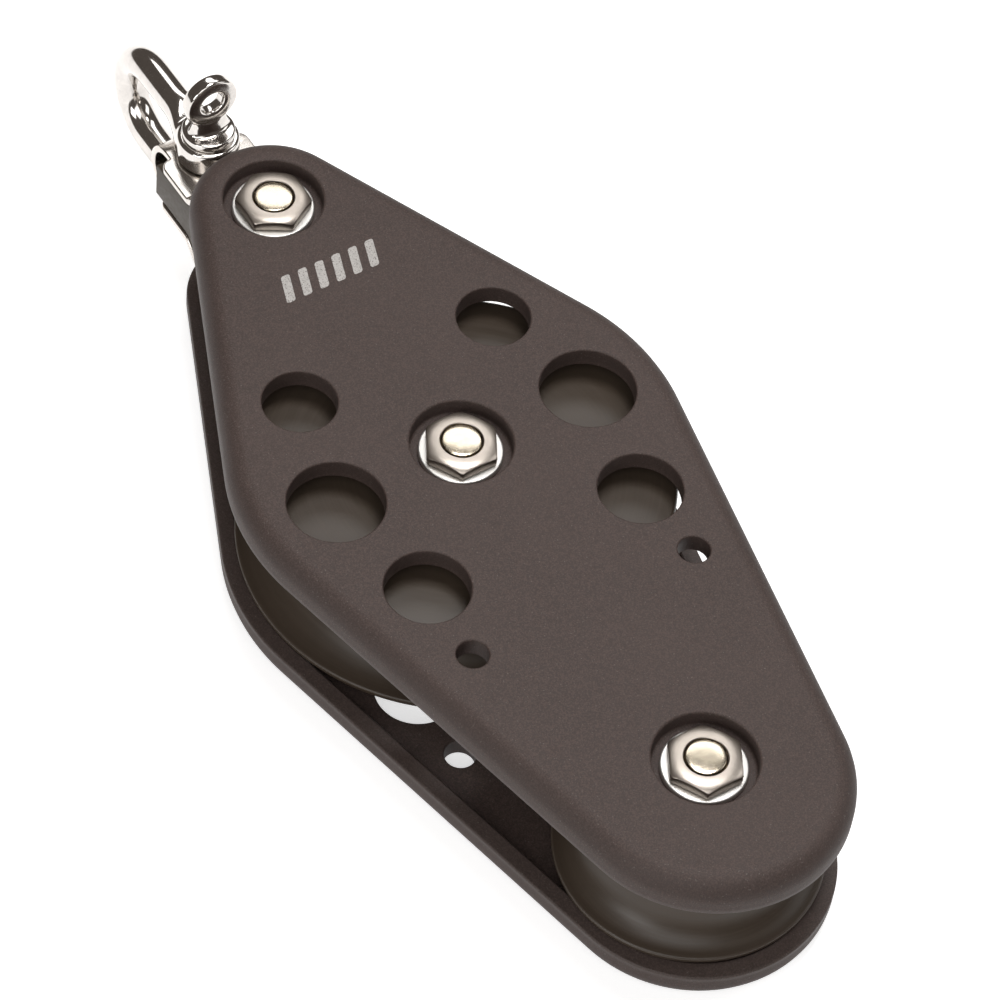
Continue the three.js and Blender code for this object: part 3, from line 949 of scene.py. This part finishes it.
@dataclass
class Hexagon:
    """A hexagonal head or nut with a rounded crown on its top, made from rings snapped to six flats."""

    across_flats: float = 13.0
    height: float = 2.65
    crown: float = 1.45
    crown_radius: float = 4.3
    turn: float = 0.0
    lip: float = 0.16

    def reach(self, angle: float) -> float:
        """How far the outside is from the axis.

        Args:
            angle: direction in radians.

        Returns:
            The distance in mm.
        """
        off = (angle - self.turn + math.pi / 6) % (math.pi / 3) - math.pi / 6
        corner = self.across_flats / math.sqrt(3)
        return min(self.across_flats / 2 / math.cos(off), corner - 0.12)

    def dome(self, radius: float) -> float:
        """Height of the crown over a radius."""
        last = self.across_flats / math.sqrt(3) + 0.1
        share = min(max((radius - self.crown_radius) / (last - self.crown_radius), 0.0), 1.0)
        return self.height - self.crown * (1 - math.sqrt(1 - share * share))

    def rings(self, reach: float, inside: Sequence[tuple[float, float]]) -> list[tuple[float, float]]:
        """Radius and height of each ring where the outside is at a distance.

        Args:
            reach: distance of the outside.
            inside: rings that follow the crown inward, as (radius, height).

        Returns:
            The rings from the underside's edge, up and inward.
        """
        edge, lip = self.dome(reach), self.lip
        found = [(reach - 0.45, 0.0), (reach - 0.1, 0.12), (reach, 0.4), (reach, edge - lip)]
        found.append((reach - lip * 0.29, self.dome(reach - lip * 0.29) - lip * 0.2))
        steps = 9
        for step in range(steps + 1):
            radius = (reach - lip) + (self.crown_radius - reach + lip) * step / steps
            found.append((radius, self.dome(radius)))
        return [*found, *inside]

    def shape(
        self, body: Body, at: Vector, up: float, inside: Sequence[tuple[float, float]], closed: bool,
    ) -> None:
        """Spins placeholder rings and snaps them to the hexagon.

        Args:
            body: the mesh.
            at: middle of the flat underside.
            up: +1 where the crown faces up, -1 where it faces down.
            inside: rings that follow the crown inward, as (radius, height).
            closed: whether the last ring joins the first, as in a nut.
        """
        count = len(self.rings(7.0, inside))
        verts = body.turn([(10.0, float(index)) for index in range(count)], at, 192, closed=closed)
        for vert in verts:
            off = vert.co - at
            angle = math.atan2(off.y, off.x)
            radius, height = self.rings(self.reach(angle), inside)[round(off.z)]
            vert.co = at + Vector((math.cos(angle) * radius, math.sin(angle) * radius, up * height))


@dataclass
class Fastening:
    """An axle bolt with its two washers and its crowned nut."""

    name: str
    nut_turn: float
    shank_radius: float = 4.0
    end_radius: float = 3.65
    end_length: float = 1.0
    head_height: float = 2.2
    nut_fit: float = 0.05
    washer_fit: float = 0.3

    def build(self) -> None:
        """Builds the bolt, nut and washers."""
        self.nut()
        self.bolt()
        for kind in ("bolt_washer", "nut_washer"):
            self.washer(f"{self.name}_{kind}")

    def nut(self) -> None:
        """Builds the crowned nut."""
        node = f"{self.name}_nut"
        low, high = node_box(node)
        middle = node_centre(node)
        bore = self.shank_radius + self.nut_fit
        form = Hexagon(height=high.z - low.z, turn=self.nut_turn)
        body = Body(f"fine_{node}", middle)
        inside = [(bore + 0.14, form.height), (bore, form.height - 0.12), (bore, 0.3), (bore + 0.2, 0.0)]
        form.shape(body, Vector((middle.x, middle.y, low.z)), 1.0, inside, True)
        body.weld()
        Finish.NUT.dress(body.finish(35), "block", [node])

    def bolt(self) -> None:
        """Builds the hex bolt, its head down and the end of its shank up."""
        node = f"{self.name}_bolt"
        low, high = node_box(node)
        middle = node_centre(node)
        body = Body(f"fine_{node}", middle)
        head_top = low.z + self.head_height
        form = Hexagon(height=self.head_height, crown=0.9, crown_radius=5.6)
        inside = [(5.2, self.head_height), (2.6, self.head_height), (0.0, self.head_height)]
        form.shape(body, Vector((middle.x, middle.y, head_top)), -1.0, inside, False)
        shank, tip, length = self.shank_radius, self.end_radius, high.z - head_top
        seat = [edge for edge in body.bm.edges if edge.is_boundary]
        corners = [
            Corner(0.0, length), Corner(tip * 0.45, length - 0.015), Corner(tip * 0.8, length - 0.07),
            Corner(tip, length - 0.16, 0.16), Corner(tip, length - self.end_length, 0.1),
            Corner(shank, length - self.end_length - 0.4, 0.1),
            Corner(shank, 0.0, 0.25), Corner(shank + 1.0, 0.0),
        ]
        known = set(body.bm.edges)
        body.turn(rounded(corners, 4), Vector((middle.x, middle.y, head_top)), 192)
        collar = [edge for edge in body.bm.edges if edge.is_boundary and edge not in known]
        bmesh.ops.bridge_loops(body.bm, edges=[*seat, *collar])
        body.weld()
        Finish.BOLT.dress(body.finish(35), "block", [node])

    def washer(self, node: str) -> None:
        """Builds a plain washer with its stamped edge.

        Args:
            node: the CAD node.
        """
        low, high = node_box(node)
        outer, half = (high.x - low.x) / 2, (high.z - low.z) / 2
        bore = self.shank_radius + self.washer_fit
        corners = [
            Corner(bore, -half, 0.1), Corner(outer, -half, 0.1),
            Corner(outer, half, 0.35), Corner(bore, half, 0.1),
        ]
        centre = node_centre(node)
        body = Body(f"fine_{node}", centre)
        body.turn(rounded(corners, 4, closed=True), centre, 96, closed=True)
        body.weld()
        Finish.WASHER.dress(body.finish(), "block", [node])


# ---------------------------------------------------------------------------------------------
# Head strap and its filler
# ---------------------------------------------------------------------------------------------


@dataclass
class HeadFitting:
    """The strap folded over the head, and the moulded block between its legs."""

    thickness: float = 1.4
    half_width: float = 9.5
    nose_half_width: float = 7.0
    shoulder: float = 95.3
    nose_radius: float = 6.1
    nose: float = 96.5
    bend_start: float = 85.0
    bend_end: float = 79.0
    tail: float = 57.5
    filler_half_width: float = 9.2
    filler_tail: float = 59.0
    filler_gap: float = 0.3
    bolt_at: float = 68.0
    pin_at: float = 92.6
    bolt_hole: float = 4.3
    filler_bolt_hole: float = 4.15
    pin_hole: float = 3.3
    strap_corner: float = 2.4
    strap_edge: float = 0.32
    filler_edge: float = 0.6
    filler_blank: float = 10.0

    def __post_init__(self) -> None:
        """Takes the leg spacing from the CAD strap, and lays out the folded centre line."""
        low, high = node_box("head_strap")
        self.datum = node_centre("main_nut_washer")
        self.middle = (low.z + high.z) / 2
        self.wide = (high.z - low.z) / 2 - self.thickness / 2
        self.narrow = self.nose_radius - self.thickness / 2
        bend = [self.bend_end + (self.bend_start - self.bend_end) * i / 40 for i in range(41)]
        leg = [(along, self.leg_height(along)) for along in [self.tail, *bend]]
        arc = [
            (self.nose + self.narrow * math.sin(math.pi * i / 48), self.narrow * math.cos(math.pi * i / 48))
            for i in range(49)
        ]
        self.line = [Vector(point) for point in [*leg, *arc, *[(y, -z) for y, z in reversed(leg)]]]
        self.lengths = [0.0]
        for first, second in zip(self.line, self.line[1:]):
            self.lengths.append(self.lengths[-1] + (second - first).length)

    def leg_height(self, along: float) -> float:
        """Height of a leg's middle over the block's middle plane.

        Args:
            along: distance from the main axle.

        Returns:
            The height in mm.
        """
        share = min(max((along - self.bend_end) / (self.bend_start - self.bend_end), 0.0), 1.0)
        return self.wide + (self.narrow - self.wide) * share * share * (3 - 2 * share)

    def length_at(self, along: float) -> float:
        """Length of strap from the upper leg's end to a place on that leg.

        Args:
            along: distance from the main axle.

        Returns:
            The length in mm.
        """
        for index, point in enumerate(self.line):
            if point.x >= along:
                step = point - self.line[index - 1]
                share = (along - self.line[index - 1].x) / step.x
                return self.lengths[index - 1] + step.length * share
        return self.lengths[-1]

    def fold(self, length: float, lift: float) -> Vector:
        """Where a point of the flat blank goes when the strap is folded.

        Args:
            length: how far along the blank it is.
            lift: how far off its middle surface, outward.

        Returns:
            (distance from the main axle, height over the middle plane).
        """
        index = next((i for i, each in enumerate(self.lengths) if each > length), len(self.lengths) - 1)
        first, second = self.line[index - 1], self.line[index]
        share = (length - self.lengths[index - 1]) / (self.lengths[index] - self.lengths[index - 1])

        def normal(at: int) -> Vector:
            """Outward normal at a point of the centre line."""
            before, after = self.line[max(at - 1, 0)], self.line[min(at + 1, len(self.line) - 1)]
            ahead = (after - before).normalized()
            return Vector((-ahead.y, ahead.x))

        out = normal(index - 1).lerp(normal(index), share).normalized()
        return first.lerp(second, share) + out * lift

    def build(self) -> None:
        """Builds the strap and the filler."""
        self.strap()
        self.filler()

    def drilled(
        self, body: Body, outline: Sequence[tuple[float, float]], holes: Sequence[Disc], round_off: float,
    ) -> None:
        """Draws a flat blank with round holes, and gives it a face.

        Args:
            body: the mesh.
            outline: corners of the blank as (x, y).
            holes: its holes, placed by their distance along y.
            round_off: the round on the convex corners.
        """
        body.chain([Vector((x, y, 0)) for x, y in outline], closed=True)
        corners = [vert for vert in body.bm.verts if abs(vert.co.x) > self.nose_half_width + 0.1]
        if round_off:
            bmesh.ops.bevel(
                body.bm, geom=corners, offset=round_off, affect="VERTICES", segments=8, profile=0.5,
                material=-1,
            )
        for hole in holes:
            at = Matrix.Translation((hole.off, hole.along, 0))
            bmesh.ops.create_circle(body.bm, cap_ends=False, radius=hole.radius, segments=48, matrix=at)
        bmesh.ops.triangle_fill(body.bm, edges=list(body.bm.edges), use_beauty=True, normal=(0, 0, 1))

    def thicken(self, body: Body, thickness: float, lip: float, stations: Iterable[float]) -> None:
        """Gives a flat blank its thickness and soft edges, and cuts it across where it is to bend.

        Args:
            body: the mesh.
            thickness: the full thickness, half of it on each side.
            lip: the round on its edges.
            stations: distances along y to cut it at.
        """
        bmesh.ops.translate(body.bm, verts=body.bm.verts, vec=(0, 0, -thickness / 2))
        body.lift(thickness)
        bmesh.ops.recalc_face_normals(body.bm, faces=body.bm.faces)
        rims = [edge for edge in body.bm.edges if edge.calc_face_angle(0) > 1.2
                and abs(edge.verts[0].co.z - edge.verts[1].co.z) < 1e-4]
        bmesh.ops.bevel(body.bm, geom=rims, offset=lip, affect="EDGES", segments=4, profile=0.5, material=-1)
        for station in stations:
            whole = [*body.bm.verts, *body.bm.edges, *body.bm.faces]
            bmesh.ops.bisect_plane(
                body.bm, geom=whole, dist=1e-5, plane_co=(0, station, 0), plane_no=(0, 1, 0),
            )

    def strap(self) -> None:
        """Builds the folded strap."""
        body = Body("fine_head_strap", node_centre("head_strap"))
        near, far = self.length_at(self.shoulder), self.lengths[-1] - self.length_at(self.shoulder)
        end, wide, slim = self.lengths[-1], self.half_width, self.nose_half_width
        right = [(wide, 0), (wide, near), (slim, near), (slim, far), (wide, far), (wide, end)]
        left = [(-x, y) for x, y in reversed(right)]
        holes = []
        for along, radius in ((self.bolt_at, self.bolt_hole), (self.pin_at, self.pin_hole)):
            spot = self.length_at(along)
            holes += [Disc(spot, radius), Disc(end - spot, radius)]
        self.drilled(body, [*right, *left], holes, self.strap_corner)
        self.thicken(body, self.thickness, self.strap_edge, self.lengths[1:-1])
        for vert in body.bm.verts:
            place = self.fold(min(max(vert.co.y, 1e-4), end - 1e-4), vert.co.z)
            vert.co = Vector((vert.co.x, self.datum.y + place.x, self.middle + place.y))
        Finish.STRAP.dress(body.finish(35), "block", ["head_strap"])

    def filler(self) -> None:
        """Builds the block between the strap's legs."""
        body = Body("fine_head_block", node_centre("head_block"))
        wide, low, high = self.filler_half_width, self.filler_tail, self.nose
        outline = [(wide, low), (wide, high), (-wide, high), (-wide, low)]
        holes = [Disc(self.bolt_at, self.filler_bolt_hole), Disc(self.pin_at, self.pin_hole)]
        self.drilled(body, outline, holes, 0)
        run = self.bend_start - self.bend_end
        bend = [self.bend_end + run * i / 24 for i in range(25)]
        self.thicken(body, self.filler_blank, self.filler_edge, bend)
        for vert in body.bm.verts:
            inside = self.leg_height(vert.co.y) - self.thickness / 2 - self.filler_gap
            sunk = self.filler_blank / 2 - abs(vert.co.z)
            height = math.copysign(inside - sunk, vert.co.z)
            vert.co = Vector((vert.co.x, self.datum.y + vert.co.y, self.middle + height))
        Finish.HEAD_FILLER.dress(body.finish(35), "block", ["head_block"])


# ---------------------------------------------------------------------------------------------
# Shackle
# ---------------------------------------------------------------------------------------------

# A ring of eight corners shrinks to this share of its radius when it is smoothed
EIGHT_SIDED = (4 + 2 * math.cos(math.pi / 4)) / 6


def smoothed(piece: bpy.types.Object, levels: int) -> bpy.types.Object:
    """Adds a subdivision surface, alike in the view and the render.

    Args:
        piece: the object.
        levels: how many times it is subdivided.

    Returns:
        The piece.
    """
    smooth = piece.modifiers.new("smooth", "SUBSURF")
    smooth.levels = smooth.render_levels = levels
    return piece


def opened(body: Body, mouth: list[bmesh.types.BMFace]) -> list[bmesh.types.BMEdge]:
    """Takes a patch of faces away.

    Args:
        body: the mesh.
        mouth: the faces.

    Returns:
        The edges round the opening.
    """
    rim = list({
        edge for face in mouth for edge in face.edges if any(other not in mouth for other in edge.link_faces)
    })
    bmesh.ops.delete(body.bm, geom=mouth, context="FACES")
    return [edge for edge in rim if edge.is_valid]


def extruded(
    body: Body, ring: Sequence[bmesh.types.BMEdge],
) -> tuple[list[bmesh.types.BMVert], list[bmesh.types.BMEdge]]:
    """Extrudes a ring of edges, and leaves the new ring where the old one is.

    Args:
        body: the mesh.
        ring: the ring's edges.

    Returns:
        The new ring's vertices and edges.
    """
    made = bmesh.ops.extrude_edge_only(body.bm, edges=ring)["geom"]
    verts = [item for item in made if isinstance(item, bmesh.types.BMVert)]
    edges = [
        item for item in made
        if isinstance(item, bmesh.types.BMEdge) and all(vert in verts for vert in item.verts)
    ]
    return verts, edges


@dataclass
class Shackle:
    """The bow shackle: a bent rod that swells into two drilled ears."""

    rod_radius: float = 3.3
    bend_radius: float = 9.6
    ear_radius: float = 6.3
    ear_thickness: float = 5.8
    jaw: float = 12.8
    reach: float = 30.8
    swell: float = 3.6
    hole_radius: float = 3.3
    levels: int = 3

    def build(self) -> None:
        """Builds the bow."""
        pin = node_centre("shackle_pin")
        low, high = node_box("shackle_bow")
        centre = Vector((pin.x, high.y - self.reach - self.rod_radius, (low.z + high.z) / 2))
        body = Body("fine_shackle_bow", centre)
        middle = (self.jaw + self.ear_thickness) / 2
        mouths = [self.ear(body, centre + Vector((0, 0, side * middle))) for side in (1, -1)]
        ends = self.rod(body, centre)
        for mouth, end in zip(mouths, ends):
            bmesh.ops.bridge_loops(body.bm, edges=[*mouth, *end])
        piece = body.finish(180)
        Finish.SHACKLE.dress(smoothed(piece, self.levels), "shackle", ["shackle_bow"])

    def ear(self, body: Body, at: Vector) -> list[bmesh.types.BMEdge]:
        """Builds one ear with an opening where the rod joins it.

        Args:
            body: the mesh.
            at: the ear's middle.

        Returns:
            The opening's edges.
        """
        half = self.ear_thickness / 2
        outer, inner = self.ear_radius / EIGHT_SIDED, self.hole_radius / EIGHT_SIDED
        side = [
            (inner, half - 0.55), (inner + 0.15, half - 0.1), (inner + 0.6, half), (outer - 1.1, half),
            (outer - 0.25, half - 0.2), (outer, half - 1.0),
        ]
        profile = [*side, (outer, 0.0), *[(radius, -height) for radius, height in reversed(side)]]
        known = set(body.bm.faces)
        body.turn(profile, at, 8, closed=True)
        body.weld()
        mouth = []
        for face in body.bm.faces:
            off = face.calc_center_median() - at
            outside = off.xy.length > outer * 0.9 and abs(off.z) < half - 1.2
            if face not in known and off.y > abs(off.x) and outside:
                mouth.append(face)
        return opened(body, mouth)

    def rod(self, body: Body, centre: Vector) -> tuple[list, list]:
        """Builds the rod from one limb round the bow to the other.

        Args:
            body: the mesh.
            centre: the pin axis at mid height.

        Returns:
            The edges of its two open ends, upper first.
        """
        bend, radius = self.bend_radius, self.rod_radius / EIGHT_SIDED
        straight = self.reach - bend
        root = centre + Vector((0, self.ear_radius + self.swell, bend))
        turned = Matrix.Translation(root) @ Matrix.Rotation(math.pi / 2, 4, "X")
        made = bmesh.ops.create_circle(body.bm, cap_ends=False, radius=radius, segments=8, matrix=turned)
        first = made["verts"]
        upper = list({edge for vert in first for edge in vert.link_edges})
        step = (straight - self.ear_radius - self.swell) / 3
        ring = upper
        for _ in range(3):
            ring = self.pushed(body, ring, Vector((0, step, 0)))
        verts = list({vert for edge in ring for vert in edge.verts})
        made = bmesh.ops.spin(
            body.bm, geom=[*verts, *ring], cent=centre + Vector((0, straight, 0)), axis=(-1, 0, 0),
            dvec=(0, 0, 0), angle=math.pi, steps=14, use_merge=False, use_duplicate=False,
        )
        ring = [item for item in made["geom_last"] if isinstance(item, bmesh.types.BMEdge)]
        for _ in range(3):
            ring = self.pushed(body, ring, Vector((0, -step, 0)))
        return upper, ring

    def pushed(self, body: Body, ring: list[bmesh.types.BMEdge], by: Vector) -> list[bmesh.types.BMEdge]:
        """Extrudes a ring of edges.

        Args:
            body: the mesh.
            ring: its edges.
            by: the move.

        Returns:
            The new ring's edges.
        """
        verts, edges = extruded(body, ring)
        bmesh.ops.translate(body.bm, verts=verts, vec=by)
        return edges


@dataclass(frozen=True)
class Waist:
    """One ring of the pin's shape: its half widths along X and Y, and its height over the block's middle."""

    wide: float
    deep: float
    height: float


@dataclass
class ScrewPin:
    """The shackle's pin: a shank, a collar and a flat eye on a flared neck."""

    shank_radius: float = 3.0
    collar_radius: float = 5.3
    collar_thickness: float = 1.9
    ear_top: float = 12.2
    eye_height: float = 8.0
    eye_half: tuple[float, float] = (5.6, 5.6)
    eye_hole: tuple[float, float] = (2.45, 2.55)
    eye_half_thickness: float = 1.45
    eye_edge: float = 0.7
    seat_gap: float = 0.05
    levels: int = 3

    def profile(self) -> list[Waist]:
        """The pin's rings from its tip to its neck."""
        shank, collar, base = self.shank_radius, self.collar_radius, self.ear_top + self.seat_gap
        top = base + self.collar_thickness
        rings = [
            (shank * 0.45, -self.ear_top + 0.02), (shank * 0.8, -self.ear_top + 0.05),
            (shank - 0.1, -self.ear_top + 0.25), (shank, -self.ear_top + 0.7), (shank, -6.0), (shank, 6.0),
            (shank, base - 0.25), (shank + 0.1, base - 0.02),
            (shank + 0.5, base), (collar - 0.6, base), (collar - 0.08, base + 0.12), (collar, base + 0.5),
            (collar, top - 0.5), (collar - 0.12, top - 0.12), (collar - 0.6, top),
        ]
        found = [Waist(radius, radius, height) for radius, height in rings]
        found += [Waist(4.5, 2.6, top + 0.1), Waist(4.2, 2.1, top + 0.7), Waist(3.8, 1.7, top + 1.8),
                  Waist(3.5, 1.5, top + 3.2)]
        return found

    def build(self) -> None:
        """Builds the pin."""
        low, high = node_box("shackle_pin")
        strap_low, strap_high = node_box("shackle_bow")
        centre = Vector(((low.x + high.x) / 2, (low.y + high.y) / 2, (strap_low.z + strap_high.z) / 2))
        body = Body("fine_shackle_pin", centre)
        rings = self.profile()
        first = rings[0]
        radius = first.wide / EIGHT_SIDED
        at = Matrix.Translation(centre + Vector((0, 0, first.height)))
        verts = bmesh.ops.create_circle(body.bm, cap_ends=True, radius=radius, segments=8, matrix=at)["verts"]
        ring = list({edge for vert in verts for edge in vert.link_edges})
        for before, after in zip(rings, rings[1:]):
            fresh, ring = extruded(body, ring)
            stretch = (after.wide / before.wide, after.deep / before.deep, 1)
            bmesh.ops.scale(body.bm, verts=fresh, vec=stretch, space=Matrix.Translation(-centre))
            bmesh.ops.translate(body.bm, verts=fresh, vec=(0, 0, after.height - before.height))
        eye_at = self.ear_top + self.seat_gap + self.collar_thickness + self.eye_height
        mouth = self.eye(body, centre + Vector((0, 0, eye_at)))
        bmesh.ops.bridge_loops(body.bm, edges=[*ring, *mouth])
        Finish.SHACKLE.dress(smoothed(body.finish(180), self.levels), "shackle_pin", ["shackle_pin"])

    def eye(self, body: Body, at: Vector) -> list[bmesh.types.BMEdge]:
        """Builds the eye with an opening under it for the neck.

        Args:
            body: the mesh.
            at: the eye's middle.

        Returns:
            The opening's edges.
        """
        half = self.eye_half_thickness
        side = [
            (0.0, half - self.eye_edge), (0.05, half - 0.2), (0.16, half),
            (0.84, half), (0.95, half - 0.2), (1.0, half - self.eye_edge),
        ]
        profile = [*side, (1.0, 0.0), *[(share, -deep) for share, deep in reversed(side)], (0.0, 0.0)]
        known = set(body.bm.faces)
        verts = body.turn(
            [(1.0 + share, deep) for share, deep in profile], at, 8, Vector((0, 1, 0)), Vector((1, 0, 0)),
            closed=True,
        )
        for vert in verts:
            off = vert.co - at
            length = Vector((off.x, off.z)).length
            share = length - 1.0
            for axis, hole, edge in zip((0, 2), self.eye_hole, self.eye_half):
                vert.co[axis] = at[axis] + off[axis] / length * (hole + (edge - hole) * share) / EIGHT_SIDED
        mouth = []
        for face in body.bm.faces:
            if face in known:
                continue
            off = face.calc_center_median() - at
            reaches = [
                ((vert.co.x - at.x) / self.eye_half[0]) ** 2 + ((vert.co.z - at.z) / self.eye_half[1]) ** 2
                for vert in face.verts
            ]
            outside = all(abs(reach - 1 / EIGHT_SIDED ** 2) < 0.02 for reach in reaches)
            if outside and -off.z > abs(off.x) and abs(off.y) < half - self.eye_edge + 0.01:
                mouth.append(face)
        return opened(body, mouth)


# ---------------------------------------------------------------------------------------------
# Studio
# ---------------------------------------------------------------------------------------------


@dataclass(frozen=True)
class Softbox:
    """A square of soft light that faces the block, placed by direction and distance."""

    name: str
    heading: float
    elevation: float
    distance: float
    size: tuple[float, float]
    power: float
    colour: Tint = Tint(1.0, 1.0, 1.0)

    def hang(self, target: Vector) -> None:
        """Hangs the light.

        Args:
            target: the point that it faces, in metres.
        """
        lamp = bpy.data.lights.new(self.name, "AREA")
        lamp.shape = "RECTANGLE"
        lamp.size, lamp.size_y = self.size
        lamp.energy = self.power
        lamp.color = (self.colour.red, self.colour.green, self.colour.blue)
        stand = bpy.data.objects.new(self.name, lamp)
        heading, rise = math.radians(self.heading), math.radians(self.elevation)
        off = Vector((math.sin(heading) * math.cos(rise), math.cos(heading) * math.cos(rise), math.sin(rise)))
        stand.location = target + off * self.distance
        stand.rotation_mode = "QUATERNION"
        stand.rotation_quaternion = (-off).to_track_quat("-Z", "Y")
        bpy.context.scene.collection.objects.link(stand)


@dataclass
class Studio:
    """Camera, pale floor and soft lights. Headings turn from +Y towards +X."""

    camera_at: Vector = field(default_factory=lambda: Vector((-306.202, -410.409, 672.146)) * MM)
    ahead: Vector = field(default_factory=lambda: Vector((0.37923, 0.48045, -0.79079)))
    rightward: Vector = field(default_factory=lambda: Vector((0.84102, -0.53534, 0.07807)))
    lens: float = 158.4
    floor_size: float = 6.0
    world: float = 0.1
    lights: tuple[Softbox, ...] = (
        Softbox("overhead", 60.0, 80.0, 1.1, (0.4, 0.34), 5.6),
        Softbox("back_sheen", 38.0, 48.0, 1.4, (0.9, 0.4), 3.0),
        Softbox("left_fill", 250.0, 25.0, 1.2, (0.5, 0.5), 3.4),
        Softbox("front_fill", 217.0, 50.0, 1.3, (0.9, 0.9), 4.6),
        Softbox("right_fill", 110.0, 35.0, 1.2, (0.4, 0.7), 1.6),
    )

    def build(self) -> None:
        """Sets up the camera, floor and lights."""
        scene = bpy.context.scene
        lens = bpy.data.cameras.new("camera")
        lens.lens, lens.sensor_width, lens.sensor_fit = self.lens, 36.0, "AUTO"
        lens.clip_start, lens.clip_end = 0.05, 20.0
        camera = bpy.data.objects.new("camera", lens)
        ahead = self.ahead.normalized()
        rightward = (self.rightward - ahead * self.rightward.dot(ahead)).normalized()
        turn = Matrix((rightward, rightward.cross(ahead), -ahead)).transposed()
        camera.matrix_world = Matrix.Translation(self.camera_at) @ turn.to_4x4()
        scene.collection.objects.link(camera)
        scene.camera = camera
        scene.view_settings.view_transform = "Standard"
        self.floor()
        target = Vector((CAD_BOX[0] + CAD_BOX[1]) / 2)
        for light in self.lights:
            light.hang(target)
        world = bpy.data.worlds.new("studio")
        world.use_nodes = True
        backdrop = next(node for node in world.node_tree.nodes if node.type == "BACKGROUND")
        backdrop.inputs["Color"].default_value = (1.0, 0.86, 0.77, 1.0)
        backdrop.inputs["Strength"].default_value = self.world
        scene.world = world
        LOG.info("studio with %d softboxes", len(self.lights))

    def floor(self) -> None:
        """Lays the floor under the block."""
        body = Body("floor", Vector((0, 0, CAD_BOX[0].z / MM)))
        at = Matrix.Translation((0, 0, CAD_BOX[0].z / MM - 0.2))
        bmesh.ops.create_grid(body.bm, x_segments=8, y_segments=8, size=self.floor_size / MM / 2, matrix=at)
        piece = body.finish(as_made=True)
        piece.data.materials.append(StudioPaper().make())
        piece.visible_diffuse = False


def main() -> None:
    """Builds the studio and every sub-assembly."""
    logging.basicConfig(level=logging.INFO, format="%(name)s: %(message)s")
    Studio().build()
    Cheeks().build()
    PrintedBars().build()
    SheaveSet("main", 41.1, 8.0).build()
    SheaveSet("tail", 25.0, 6.5).build()
    for name, turn in (("head", 0.0), ("main", math.pi / 6), ("tail", math.pi / 6)):
        Fastening(name, turn).build()
    HeadFitting().build()
    Shackle().build()
    ScrewPin().build()


if __name__ == "__main__":
    main()
